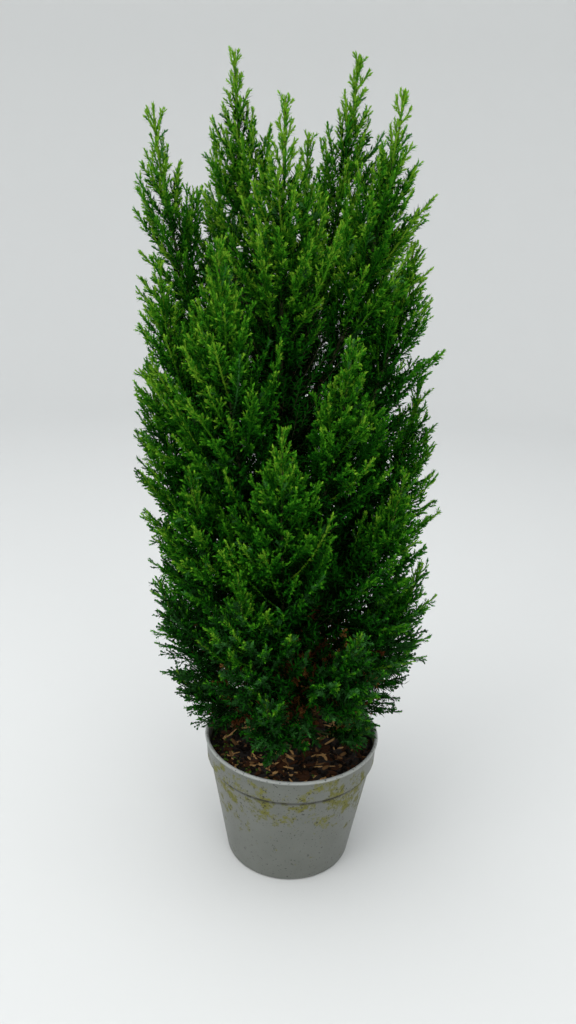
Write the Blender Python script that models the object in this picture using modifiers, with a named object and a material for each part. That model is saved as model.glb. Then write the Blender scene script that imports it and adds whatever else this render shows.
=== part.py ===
"""A potted Lawson cypress, as solids at its real size, in metres.

The plant stands in a round nursery pot: pot, soil, trunk, the boughs that leave it, and one mass
of foliage, called a plume here, for each leading shoot. The origin is the centre of the pot's
flat underside, +Z is up, and the plant is seen from the -Y side.
"""

import math

import bmesh
import bpy
import numpy as np
from mathutils import Vector, noise

SEED = 2611
GAP = 0.0003  # clearance between two solids that meet

# The pot: a thin rolled lip, a nearly upright band, a step inwards, then a tapering body
POT_HEIGHT = 0.115
POT_RIM_RADIUS = 0.075
POT_FOOT_RADIUS = 0.054
POT_WALL = 0.0016
POT_FLOOR = 0.002
POT_STEPS = 32
LIP_HEIGHT = 0.003
LIP_OVERHANG = 0.0013
LIP_CURVE = ((0.9, 0.0), (0.25, 0.1), (0.0, 0.4), (0.1, 0.9))  # shares in and down, over its top
BAND_HEIGHT = 0.0175
BAND_DRAFT = 0.0008
STEP_DEPTH = 0.0024
STEP_HEIGHT = 0.0012
FOOT_CHAMFER = 0.0015
DRAIN_COUNT = 6
DRAIN_RADIUS = 0.0045
DRAIN_CIRCLE = 0.040

# The soil: it fills the pot to a little below the rim
SOIL_TOP = 0.102
SOIL_STEPS = POT_STEPS // 2  # its corners stand behind every other corner of the pot
SOIL_RINGS = (0.88, 0.70, 0.52, 0.34)  # share of the soil's radius
SOIL_FLAT_RADIUS = 0.016  # left level under the trunk
SOIL_FADE = 0.020  # over which the bumps rise from there
SOIL_EDGE_DROP = 0.002
SOIL_BUMP = 0.0035
SOIL_GRAIN = 55.0

# The trunk: (height, x, y, radius) up its middle line
TRUNK_LINE = (
    (0.102, 0.0000, 0.0000, 0.0098),
    (0.107, 0.0000, 0.0000, 0.0074),
    (0.118, -0.0008, 0.0004, 0.0064),
    (0.180, -0.0050, 0.0024, 0.0057),
    (0.260, -0.0100, 0.0010, 0.0048),
    (0.340, -0.0140, -0.0020, 0.0038),
    (0.410, -0.0200, 0.0000, 0.0028),
    (0.470, -0.0270, 0.0030, 0.0019),
)
TRUNK_POINTS = 16
FLARE_LOBES = 5
FLARE_DEPTH = 0.0022
FLARE_HEIGHT = 0.012
FLARE_TURN = 0.6

# The crown: its radius and the drift of its middle by height
CROWN_RADIUS = (
    (0.115, 0.086),
    (0.150, 0.106),
    (0.200, 0.119),
    (0.280, 0.125),
    (0.400, 0.123),
    (0.520, 0.114),
    (0.640, 0.104),
)
CROWN_DRIFT = ((0.115, 0.0), (0.62, -0.024))
CROWN_DEPTH = 0.93  # front to back, against the width

# The leading shoots that stand above the crown: tip, height of the root on the trunk, half-width
SPIRES = {
    "leader": ((-0.062, 0.010, 0.6465), 0.470, 0.034),
    "spire_left": ((-0.113, -0.015, 0.6095), 0.352, 0.040),
    "spire_front": ((-0.009, -0.050, 0.6115), 0.366, 0.037),
    "spire_right": ((0.0244, 0.020, 0.6450), 0.408, 0.035),
    "spire_far_right": ((0.061, -0.010, 0.6200), 0.380, 0.037),
    "spire_back_left": ((-0.092, 0.060, 0.5920), 0.336, 0.039),
    "spire_back": ((-0.022, 0.076, 0.6000), 0.360, 0.038),
    "spire_back_right": ((0.046, 0.060, 0.5860), 0.344, 0.038),
}

# The tiers below: plumes in each, height of the lowest root and rise to the highest one, height
# of the tips, how far the tips differ, reach in crown radii, half-width, azimuth of the first, in
# degrees, and whether a bough carries each
TIERS = {
    "shoulder": (7, 0.232, 0.070, 0.496, 0.030, 0.82, 0.043, -100.0, True),
    "flank": (8, 0.176, 0.050, 0.396, 0.030, 0.86, 0.048, -74.0, False),
    "waist": (8, 0.134, 0.034, 0.286, 0.026, 0.88, 0.048, -98.0, False),
    "skirt": (7, 0.114, 0.020, 0.186, 0.020, 0.87, 0.050, -90.0, False),
}
AZIMUTH_WANDER = 5.0
BOUGH_SHARE = 0.24  # of a plume's line, from the trunk to where the foliage starts
STEM_SHARE = 0.14  # the bare stem of a plume that no bough carries
TOP_SHARE = 0.06  # the bare stem of the plume that ends the trunk
LINE_POINTS = 25
ARCH_STEPS = 80
LEAVE = (0.58, 0.20)  # the curve's handle at the root: shares of the way across and of the rise
ARRIVE = (0.10, 0.42)  # and its handle at the tip, measured back
NEAR = 1.3  # two plumes are neighbours within this many of their half-widths

# Half-width of a plume's space along its foliage, as shares of its length and of its half-width
SWELL = ((0.0, 0.50), (0.14, 0.90), (0.42, 1.0), (0.70, 0.68), (0.88, 0.34), (1.0, 0.18))
BARE_WIDTH = 0.0065
STEM_RADII = (0.0017, 0.0006)
BOUGH_RADII = (0.0031, 0.0017)
BOUGH_POINTS = 6
STEM_POINTS = 6
STEM_END = 0.94

# The smaller core that the sprays of a plume stand out of, with whorls of teeth up the stem
CORE_SIDES = 6
CORE_WHORLS = 4
CORE_SHARE = 0.32  # of the half-width, at the foot of a whorl
WAIST_SHARE = 0.46  # between two teeth of a whorl
TOOTH_SHARE = 0.94
TOOTH_LIFT = 0.95
CORE_SPAN = (0.05, 0.78)
CORE_ENDS = (0.05, 0.06)  # how far its two points stand beyond that
CORE_RIPPLE = 0.22
DRAW_ROUNDS = 16
DRAW_IN = 0.82
MARGIN = 0.0007  # what a mass keeps back from the edge of its space

# The sprays: fans of three lobes set round the stem by the golden angle
SPRAYS = 7
GOLDEN_ANGLE = math.radians(137.508)
SPRAY_SPAN = (0.08, 0.84)
SPRAY_ROOT = 0.22  # in half-widths from the stem
SPRAY_LEAN = (44.0, 24.0)  # degrees from the stem, low and high on it
LEAN_WANDER = 6.0
SPRAY_REACH = 1.12  # in half-widths from the stem
SPRAY_LEAST = 0.020
SPRAY_TRIES = ((1.0, 1.0), (0.86, 0.75), (0.70, 0.45))  # shares of length and lean
SPRAY_THICK = 0.07
SPRAY_ROLL = 24.0
FAN_ANGLE = 25.0
FAN_LOBES = 3
FAN_NOTCH = 0.76
FAN_SHORTEST = 0.72
FAN_ROOT = 0.22  # how far it reaches back, in lengths
FAN_HEART = 0.16  # where it is thickest
TIP_SPRAY = 0.046

BRIGHT_ABOVE = 0.56  # tip heights that part the three greens
MID_ABOVE = 0.25

COLOURS = {
    "pot_plastic": ((0.40, 0.41, 0.40), 0.45),
    "potting_mix": ((0.045, 0.028, 0.018), 0.95),
    "bark": ((0.19, 0.10, 0.06), 0.85),
    "foliage_bright": ((0.16, 0.42, 0.05), 0.6),
    "foliage_mid": ((0.07, 0.25, 0.035), 0.6),
    "foliage_low": ((0.05, 0.17, 0.06), 0.65),
}


def clear_scene():
    for obj in list(bpy.data.objects):
        bpy.data.objects.remove(obj, do_unlink=True)


def material(name):
    """The Principled material of that name, made on first use."""
    if name in bpy.data.materials:
        return bpy.data.materials[name]
    made = bpy.data.materials.new(name)
    made.use_nodes = True
    colour, roughness = COLOURS[name]
    shader = made.node_tree.nodes["Principled BSDF"]
    shader.inputs["Base Color"].default_value = (*colour, 1.0)
    shader.inputs["Roughness"].default_value = roughness
    made.diffuse_color = (*colour, 1.0)
    return made


def mesh_object(name, vertices, faces, collection, edges=()):
    mesh = bpy.data.meshes.new(name)
    mesh.from_pydata([tuple(map(float, v)) for v in vertices], edges, faces)
    obj = bpy.data.objects.new(name, mesh)
    collection.objects.link(obj)
    return obj


def as_mesh(obj, collection):
    """A mesh object in place of this one, as it is evaluated, with its caps welded."""
    bpy.context.view_layer.update()
    evaluated = obj.evaluated_get(bpy.context.evaluated_depsgraph_get())
    mesh = bpy.data.meshes.new_from_object(evaluated)
    name = obj.name
    place = obj.matrix_world.copy()
    bpy.data.objects.remove(obj, do_unlink=True)
    mesh.name = name
    made = bpy.data.objects.new(name, mesh)
    made.matrix_world = place
    collection.objects.link(made)
    form = bmesh.new()
    form.from_mesh(mesh)
    bmesh.ops.remove_doubles(form, verts=form.verts, dist=1e-6)
    form.to_mesh(mesh)
    form.free()
    return made


def finish(obj, material_name, smooth_angle):
    """Gives the object its material, shaded smooth up to that angle in degrees."""
    obj.data.materials.clear()
    obj.data.materials.append(material(material_name))
    if obj.type == "MESH":
        obj.data.shade_smooth()
        obj.data.set_sharp_from_angle(angle=math.radians(smooth_angle))
    return obj


def turned(name, profile, steps, collection):
    """A profile of (radius, height) points, turned round the Z axis."""
    points = [(radius, 0.0, height) for radius, height in profile]
    edges = [(i, i + 1) for i in range(len(points) - 1)]
    obj = mesh_object(name, points, [], collection, edges)
    screw = obj.modifiers.new("Turn", "SCREW")
    screw.steps = steps
    screw.render_steps = steps
    screw.use_merge_vertices = True
    screw.merge_threshold = 0.00005
    return obj


def limb(name, points, radii, resolution, collection):
    """A tapering limb: a poly curve with a round bevel and filled caps."""
    curve = bpy.data.curves.new(name, "CURVE")
    curve.dimensions = "3D"
    curve.bevel_depth = 1.0
    curve.bevel_resolution = resolution
    curve.use_fill_caps = True
    spline = curve.splines.new("POLY")
    spline.points.add(len(points) - 1)
    for control, point, radius in zip(spline.points, points, radii):
        control.co = (*map(float, point), 1.0)
        control.radius = float(radius)
    obj = bpy.data.objects.new(name, curve)
    collection.objects.link(obj)
    return obj


def unit(vector):
    return vector / np.linalg.norm(vector)


def even_line(points, count):
    """The same line with that many points at equal steps along it."""
    steps = np.linalg.norm(np.diff(points, axis=0), axis=1)
    along = np.concatenate([[0.0], np.cumsum(steps)])
    wanted = np.linspace(0.0, along[-1], count)
    return np.column_stack([np.interp(wanted, along, points[:, axis]) for axis in range(3)])


def nearest(points, line, widths):
    """For each point, the least distance to the line in widths, and the width there."""
    start = line[:-1]
    run = line[1:] - start
    offset = points[:, None, :] - start[None]
    share = np.clip((offset * run).sum(2) / (run * run).sum(1), 0.0, 1.0)
    gap = np.linalg.norm(offset - share[..., None] * run, axis=2)
    width = widths[:-1] + share * (widths[1:] - widths[:-1])
    best = (gap / width).argmin(1)
    rows = np.arange(len(points))
    return (gap / width)[rows, best], width[rows, best]


def surface_samples(vertices, faces):
    """Points spread over every triangle: its corners, sides and middle."""
    shares = np.array(
        [(1, 0, 0), (0, 1, 0), (0, 0, 1), (0.5, 0.5, 0), (0.5, 0, 0.5), (0, 0.5, 0.5)]
        + [(0.6, 0.2, 0.2), (0.2, 0.6, 0.2), (0.2, 0.2, 0.6)]
    )
    corners = np.asarray(vertices)[np.asarray(faces)]
    return np.einsum("sk,fkx->fsx", shares, corners)


def trunk_axis():
    """The trunk's middle line and its radius at each point."""
    rows = np.array(TRUNK_LINE)
    heights = np.concatenate([rows[:2, 0], np.linspace(rows[2, 0], rows[-1, 0], TRUNK_POINTS - 2)])
    x, y, radius = (np.interp(heights, rows[:, 0], rows[:, column]) for column in (1, 2, 3))
    for lean in (x, y):
        lean[2:-1] = 0.25 * lean[1:-2] + 0.5 * lean[2:-1] + 0.25 * lean[3:]
    heights[0] += GAP
    return np.column_stack([x, y, heights]), radius


def crown_at(height):
    """The crown's radius and the X of its middle at that height."""
    radius = np.interp(height, *zip(*CROWN_RADIUS))
    return radius, np.interp(height, *zip(*CROWN_DRIFT))


class Plume:
    """A leading shoot: the line from the trunk to its tip, and the space that its foliage keeps to."""

    def __init__(self, name, root_height, tip, half_width, bough, index):
        self.name = name
        self.bough = bough
        self.index = index
        self.half_width = half_width
        axis, radii = trunk_axis()
        self.on_top = root_height >= axis[-1, 2] - GAP
        x, y = (np.interp(root_height, axis[:, 2], axis[:, i]) for i in (0, 1))
        root = np.array([x, y, root_height])
        self.line = even_line(self._arch(root, np.array(tip)), LINE_POINTS)
        self.bare = TOP_SHARE if self.on_top else BOUGH_SHARE if bough else STEM_SHARE
        shares = np.linspace(0.0, 1.0, LINE_POINTS)
        foliage = (shares - self.bare) / (1.0 - self.bare)
        swell = np.interp(foliage, *zip(*SWELL)) * half_width
        self.widths = np.where(foliage < 0.0, BARE_WIDTH, swell)

    def _arch(self, root, tip):
        """A shoot leaves the trunk outwards, then bends up to its tip."""
        across = (tip - root) * (1.0, 1.0, 0.0)
        rise = (tip - root) * (0.0, 0.0, 1.0)
        leave = root + LEAVE[0] * across + LEAVE[1] * rise
        arrive = tip - ARRIVE[0] * across - ARRIVE[1] * rise
        t = np.linspace(0.0, 1.0, ARCH_STEPS)[:, None]
        s = 1.0 - t
        return s**3 * root + 3 * s**2 * t * leave + 3 * s * t**2 * arrive + t**3 * tip

    def foliage(self, share):
        """The share of the whole line at that share of its foliage."""
        return self.bare + share * (1.0 - self.bare)

    def at(self, share):
        """The point on the line at that share of its length."""
        shares = np.linspace(0.0, 1.0, LINE_POINTS)
        return np.array([np.interp(share, shares, self.line[:, axis]) for axis in range(3)])

    def heading(self, share):
        return unit(self.at(min(share + 0.02, 1.0)) - self.at(max(share - 0.02, 0.0)))

    def width(self, share):
        return float(np.interp(share, np.linspace(0.0, 1.0, LINE_POINTS), self.widths))

    def length(self):
        return float(np.linalg.norm(np.diff(self.line, axis=0), axis=1).sum())

    def frame(self, share):
        """Heading, and two directions square to it: away from the crown's middle, and sideways."""
        heading = self.heading(share)
        point = self.at(share)
        middle = np.array([crown_at(point[2])[1], 0.0, point[2]])
        away = point - middle
        away = away if np.linalg.norm(away) > 1e-4 else np.array([0.0, -1.0, 0.0])
        away = unit(away - heading * away.dot(heading))
        return heading, away, np.cross(heading, away)


def plumes():
    """Every plume of the crown, the spires first and then tier by tier."""
    made = []
    for name, (tip, root_height, half_width) in SPIRES.items():
        made.append(Plume(name, root_height, tip, half_width, name != "leader", len(made)))
    for tier, row in TIERS.items():
        count, low, climb, tip_height, differ, reach, half_width, first, bough = row
        rng = np.random.default_rng(SEED + count + int(1000 * tip_height))
        for i in range(count):
            azimuth = math.radians(first + 360.0 * i / count + rng.uniform(-1, 1) * AZIMUTH_WANDER)
            height = tip_height + differ * ((-1) ** i * 0.7 + rng.uniform(-0.5, 0.5))
            radius, middle = crown_at(height)
            tip = (
                middle + reach * radius * math.cos(azimuth),
                reach * radius * CROWN_DEPTH * math.sin(azimuth),
                height,
            )
            root_height = low + climb * ((3 * i) % count) / (count - 1)
            made.append(Plume(f"{tier}_{i + 1}", root_height, tip, half_width, bough, len(made)))
    return made


class Crown:
    """All plumes and limbs together, to tell which space is whose."""

    def __init__(self):
        self.plumes = plumes()
        self.trunk, self.trunk_radii = trunk_axis()
        self.limbs = [(self.trunk, self.trunk_radii)]
        for plume in self.plumes:
            if plume.bough:
                self.limbs.append(self.bough_line(plume))
        self.near = {plume.name: self.neighbours(plume) for plume in self.plumes}

    def neighbours(self, plume):
        """The other plumes whose lines come close enough to share a border with this one."""
        near = []
        for other in self.plumes:
            apart = np.linalg.norm(plume.line[:, None] - other.line[None], axis=2).min()
            if other is not plume and apart < NEAR * (plume.half_width + other.half_width):
                near.append(other)
        return near

    def start_on_trunk(self, plume, radius):
        """The share of the plume's line where a limb of that radius stands clear of the trunk."""
        for share in np.linspace(0.0, 0.5, 400):
            point = plume.at(share)
            heading, away, side = plume.frame(share)
            turn = np.linspace(0.0, 2 * math.pi, 12, endpoint=False)[:, None]
            rim = point + radius * (np.cos(turn) * away + np.sin(turn) * side)
            gap, width = nearest(rim, self.trunk, self.trunk_radii)
            if ((gap - 1.0) * width).min() >= GAP:
                return share
        raise ValueError(f"{plume.name} never leaves the trunk")

    def bough_line(self, plume):
        start = self.start_on_trunk(plume, BOUGH_RADII[0])
        points = np.array([plume.at(s) for s in np.linspace(start, BOUGH_SHARE, BOUGH_POINTS)])
        return points, np.linspace(*BOUGH_RADII, BOUGH_POINTS)

    def stem_line(self, plume):
        if plume.on_top:
            start = 2 * GAP / plume.length()
        elif plume.bough:
            start = BOUGH_SHARE + GAP / plume.length()
        else:
            start = self.start_on_trunk(plume, STEM_RADII[0])
        points = np.array([plume.at(s) for s in np.linspace(start, STEM_END, STEM_POINTS)])
        return points, np.linspace(*STEM_RADII, STEM_POINTS)

    def room(self, points, plume):
        """How far each point lies inside the plume's own space, in metres: below 0 is outside."""
        own, own_width = nearest(points, plume.line, plume.widths)
        room = np.full(len(points), np.inf)
        for other in self.near[plume.name]:
            share, width = nearest(points, other.line, other.widths)
            room = np.minimum(room, (share - own) / (1.0 / own_width + 1.0 / width))
        for line, radii in self.limbs:
            gap, radius = nearest(points, line, radii)
            room = np.minimum(room, (gap - 1.0) * radius)
        return np.minimum(room, np.minimum(self.above_pot(points), self.within_outline(points)))

    def above_pot(self, points):
        """How far each point is from the soil and from the pot's rim."""
        inside = POT_RIM_RADIUS - 4 * POT_WALL - np.hypot(points[:, 0], points[:, 1])
        over_soil = points[:, 2] - SOIL_TOP - SOIL_BUMP
        over_rim = points[:, 2] - POT_HEIGHT
        return np.maximum(np.minimum(over_soil, inside), over_rim)

    def within_outline(self, points):
        """How far each point is inside the crown's outline."""
        radius, middle = crown_at(points[:, 2])
        return radius - np.hypot(points[:, 0] - middle, points[:, 1] / CROWN_DEPTH)

    def fits(self, vertices, faces, plume):
        samples = surface_samples(vertices, faces).reshape(-1, 3)
        return self.room(samples, plume).min() >= MARGIN


def core_rings():
    """The rings of the core: share of the foliage, then of the half-width by turns round the stem."""
    step = (CORE_SPAN[1] - CORE_SPAN[0]) / CORE_WHORLS
    for whorl in range(CORE_WHORLS):
        low = CORE_SPAN[0] + whorl * step
        yield low, (CORE_SHARE, CORE_SHARE)
        teeth = (TOOTH_SHARE, WAIST_SHARE)
        yield low + TOOTH_LIFT * step, teeth if whorl % 2 else teeth[::-1]


def core_shape(crown, plume, rng):
    """The toothed core round the stem, drawn in until its faces keep to the plume's space."""
    centres, spokes, reach = [], [], []
    rings = list(core_rings())
    for u, width_shares in rings:
        _, away, side = plume.frame(plume.foliage(u))
        for i in range(CORE_SIDES):
            turn = 2 * math.pi * i / CORE_SIDES
            ripple = 1.0 + CORE_RIPPLE * rng.uniform(-1.0, 1.0)
            centres.append(plume.at(plume.foliage(u)))
            spokes.append(math.cos(turn) * away + math.sin(turn) * side)
            reach.append(plume.width(plume.foliage(u)) * width_shares[i % 2] * ripple)
    last = CORE_SIDES * len(rings)
    ends = [plume.at(plume.foliage(CORE_SPAN[0] - CORE_ENDS[0]))]
    ends.append(plume.at(plume.foliage(CORE_SPAN[1] + CORE_ENDS[1])))
    faces = []
    for i in range(CORE_SIDES):
        j = (i + 1) % CORE_SIDES
        faces.append((last, j, i))
        for ring in range(len(rings) - 1):
            low, high = ring * CORE_SIDES, (ring + 1) * CORE_SIDES
            faces += [(low + i, low + j, high + i), (low + j, high + j, high + i)]
        faces.append((last + 1, last - CORE_SIDES + i, last - CORE_SIDES + j))
    centres, spokes, reach = np.array(centres), np.array(spokes), np.array(reach)
    for _ in range(DRAW_ROUNDS):
        vertices = np.vstack([centres + spokes * reach[:, None], ends])
        samples = surface_samples(vertices, faces)
        room = crown.room(samples.reshape(-1, 3), plume).reshape(len(faces), -1).min(1)
        corners = np.unique(np.array(faces)[room < MARGIN])
        tight = corners[corners < last]
        if not len(tight):
            break
        reach[tight] *= DRAW_IN
    return vertices, faces


def spray_shape(root, direction, side, length):
    """A toothed blade: lobes in a fan, thick at its root and thin at its edge."""
    normal = np.cross(direction, side)
    points = 2 * FAN_LOBES - 1
    outline = [root - FAN_ROOT * length * direction]
    for i in range(points):
        turn = math.radians(FAN_ANGLE) * (2.0 * i / (points - 1) - 1.0)
        fade = 1.0 - (1.0 - FAN_SHORTEST) * abs(2.0 * i / (points - 1) - 1.0)
        out = length * fade * (FAN_NOTCH if i % 2 else 1.0)
        outline.append(root + out * (math.cos(turn) * direction + math.sin(turn) * side))
    heart = root + FAN_HEART * length * direction
    half = 0.5 * SPRAY_THICK * length * normal
    vertices = [*outline, heart + half, heart - half]
    count = len(outline)
    faces = []
    for i in range(count):
        j = (i + 1) % count
        faces += [(i, j, count), (j, i, count + 1)]
    return np.array(vertices), faces


def spray_tries(plume, u, turn, rng):
    """A spray's shape at that place up the stem and round it, then ever smaller and closer ones."""
    share = plume.foliage(u)
    heading, away, across = plume.frame(share)
    out = math.cos(turn) * away + math.sin(turn) * across
    around = np.cross(heading, out)
    width = plume.width(share)
    wander = rng.uniform(-1.0, 1.0) * LEAN_WANDER
    lean = math.radians(np.interp(u, (0.0, 1.0), SPRAY_LEAN) + wander)
    length = max(SPRAY_LEAST, (SPRAY_REACH - SPRAY_ROOT) * width / math.sin(lean))
    roll = math.radians(rng.uniform(-1.0, 1.0) * SPRAY_ROLL)
    for length_share, lean_share in SPRAY_TRIES:
        direction = math.cos(lean * lean_share) * heading + math.sin(lean * lean_share) * out
        side = math.cos(roll) * around + math.sin(roll) * np.cross(direction, around)
        root = plume.at(share) + SPRAY_ROOT * width * out
        yield spray_shape(root, direction, side, length * length_share)


def tip_tries(plume):
    """The spray that ends the plume, then ever shorter ones."""
    heading, _, across = plume.frame(0.97)
    root = plume.at(1.0) - TIP_SPRAY * heading
    for length_share, _ in SPRAY_TRIES:
        yield spray_shape(root, heading, across, TIP_SPRAY * length_share)


def sprays(crown, plume, rng):
    """The sprays that fit the plume's space, set round the stem by the golden angle."""
    phase = rng.uniform(0.0, 2 * math.pi)
    for i, u in enumerate(np.linspace(*SPRAY_SPAN, SPRAYS)):
        tries = spray_tries(plume, u, phase + i * GOLDEN_ANGLE, rng)
        yield from [shape for shape in tries if crown.fits(*shape, plume)][:1]
    yield from [shape for shape in tip_tries(plume) if crown.fits(*shape, plume)][:1]


def keep_main_body(mesh):
    """Drops loose scraps and fills sealed hollows: only the body with the most faces stays."""
    form = bmesh.new()
    form.from_mesh(mesh)
    unseen = set(form.faces)
    bodies = []
    while unseen:
        body = [unseen.pop()]
        for face in body:
            joined = [edge for edge in face.edges if len(edge.link_faces) == 2]
            for other in {other for edge in joined for other in edge.link_faces} & unseen:
                unseen.discard(other)
                body.append(other)
        bodies.append(body)
    bodies.sort(key=len)
    for body in bodies[:-1]:
        bmesh.ops.delete(form, geom=body, context="FACES")
    form.to_mesh(mesh)
    form.free()


def make_mass(crown, plume, plant):
    """One mass of foliage: stem, core and sprays joined by one union."""
    rng = np.random.default_rng(SEED + plume.index)
    pieces = bpy.data.collections.new("pieces")
    bpy.context.scene.collection.children.link(pieces)
    name = f"foliage_{plume.name}"
    points, radii = crown.stem_line(plume)
    stem = as_mesh(limb(name, points, radii, 0, plant), plant)
    stem.name = name
    mesh_object("core", *core_shape(crown, plume, rng), pieces)
    for vertices, faces in sprays(crown, plume, rng):
        mesh_object("spray", vertices, faces, pieces)
    union = stem.modifiers.new("Join", "BOOLEAN")
    union.operation = "UNION"
    union.operand_type = "COLLECTION"
    union.collection = pieces
    mass = as_mesh(stem, plant)
    for obj in list(pieces.objects):
        bpy.data.objects.remove(obj, do_unlink=True)
    bpy.data.collections.remove(pieces)
    mass.name = name
    keep_main_body(mass.data)
    height = plume.line[-1, 2]
    green = "bright" if height > BRIGHT_ABOVE else "mid" if height > MID_ABOVE else "low"
    return finish(mass, f"foliage_{green}", 20.0)


def pot_profile(inset, floor):
    """The pot's side from the lip's foot down, set in by that much, to the floor at that height."""
    band_top = POT_RIM_RADIUS - LIP_OVERHANG
    step_top = POT_HEIGHT - LIP_HEIGHT - BAND_HEIGHT
    band_foot = band_top - BAND_DRAFT
    body_top = band_foot - STEP_DEPTH
    body_drop = step_top - STEP_HEIGHT
    foot = POT_FOOT_RADIUS + (body_top - POT_FOOT_RADIUS) * floor / body_drop
    return [
        (band_top - inset, POT_HEIGHT - LIP_HEIGHT),
        (band_foot - inset, step_top),
        (body_top - inset, body_drop),
        (foot - inset, floor),
    ]


def make_pot(plant, cutters):
    side = pot_profile(0.0, FOOT_CHAMFER)
    inner = pot_profile(POT_WALL, POT_FLOOR)
    lip = [(POT_RIM_RADIUS - LIP_OVERHANG - POT_WALL, POT_HEIGHT - 0.2 * LIP_HEIGHT)]
    for inwards, down in LIP_CURVE:
        lip.append((POT_RIM_RADIUS - inwards * LIP_OVERHANG, POT_HEIGHT - down * LIP_HEIGHT))
    underside = [(POT_FOOT_RADIUS - FOOT_CHAMFER, 0.0), (0.0, 0.0)]
    profile = [(0.0, POT_FLOOR), *reversed(inner), *lip, *side, *underside]
    pot = turned("pot", profile, POT_STEPS, plant)
    for i in range(DRAIN_COUNT):
        turn = 2 * math.pi * (i + 0.5) / DRAIN_COUNT
        bpy.ops.mesh.primitive_cylinder_add(
            vertices=12,
            radius=DRAIN_RADIUS,
            depth=6 * POT_FLOOR,
            location=(DRAIN_CIRCLE * math.cos(turn), DRAIN_CIRCLE * math.sin(turn), 0.0),
        )
        hole = bpy.context.object
        hole.name = f"drain_cutter_{i + 1}"
        hole.hide_render = True
        hole.display_type = "WIRE"
        for collection in hole.users_collection:
            collection.objects.unlink(hole)
        cutters.objects.link(hole)
    cut = pot.modifiers.new("Drain holes", "BOOLEAN")
    cut.operand_type = "COLLECTION"
    cut.collection = cutters
    return finish(pot, "pot_plastic", 40.0)


def soil_relief(x, y):
    """How far the soil's top stands off its level there: bumps, but level under the trunk."""
    away = max(0.0, math.hypot(x, y) - SOIL_FLAT_RADIUS) / SOIL_FADE
    return SOIL_BUMP * min(1.0, away) * noise.noise(Vector((x * SOIL_GRAIN, y * SOIL_GRAIN, 0.3)))


def make_soil(plant):
    inset = POT_WALL + GAP
    _, band_foot, body_top, foot = pot_profile(inset, POT_FLOOR + GAP)
    top_radius = band_foot[0]
    profile = [(0.0, SOIL_TOP), (SOIL_FLAT_RADIUS, SOIL_TOP)]
    profile += [(share * top_radius, SOIL_TOP) for share in reversed(SOIL_RINGS)]
    profile += [(top_radius, SOIL_TOP - SOIL_EDGE_DROP), (top_radius, band_foot[1])]
    profile += [body_top, foot, (0.0, foot[1])]
    soil = as_mesh(turned("soil", profile, SOIL_STEPS, plant), plant)
    for vertex in soil.data.vertices:
        if vertex.co.z > SOIL_TOP - 0.5 * SOIL_EDGE_DROP:
            vertex.co.z += soil_relief(vertex.co.x, vertex.co.y)
    return finish(soil, "potting_mix", 25.0)


def make_trunk(crown, plant):
    """The trunk, whole to its tip, with the lobes of its root flare."""
    trunk = as_mesh(limb("trunk", crown.trunk, crown.trunk_radii, 3, plant), plant)
    foot = crown.trunk[0]
    for vertex in trunk.data.vertices:
        fade = max(0.0, 1.0 - (vertex.co.z - foot[2]) / FLARE_HEIGHT) ** 2
        out = Vector((vertex.co.x - foot[0], vertex.co.y - foot[1], 0.0))
        if fade and out.length > 0.001:
            lobe = math.cos(FLARE_LOBES * math.atan2(out.y, out.x) + FLARE_TURN)
            vertex.co += out.normalized() * fade * FLARE_DEPTH * lobe
    return finish(trunk, "bark", 50.0)


def make_bough(crown, plume, plant):
    points, radii = crown.bough_line(plume)
    bough = limb(f"bough_{plume.name}", points, radii, 1, plant)
    return finish(bough, "bark", 50.0)


def main():
    clear_scene()
    plant = bpy.data.collections.new("potted_lawson_cypress")
    cutters = bpy.data.collections.new("cutters")
    for collection in (plant, cutters):
        bpy.context.scene.collection.children.link(collection)
    crown = Crown()
    make_pot(plant, cutters)
    make_soil(plant)
    make_trunk(crown, plant)
    for plume in crown.plumes:
        if plume.bough:
            make_bough(crown, plume, plant)
        make_mass(crown, plume, plant)


main()
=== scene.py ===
"""The looks of a potted Lawson cypress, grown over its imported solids.

Sizes are metres in the model's own frame: the origin is the centre of the pot's flat underside,
+Z is up, and the plant is seen from the -Y side. The plumes, their widths and their first shoots
follow the same rule as the solids, and finer twigs and needles grow on from them.
"""

import json
import logging
import math
from dataclasses import dataclass, field, replace
from enum import Enum, IntEnum
from typing import Iterable, Sequence

import bpy
import numpy as np
from mathutils import Matrix, Vector


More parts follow.
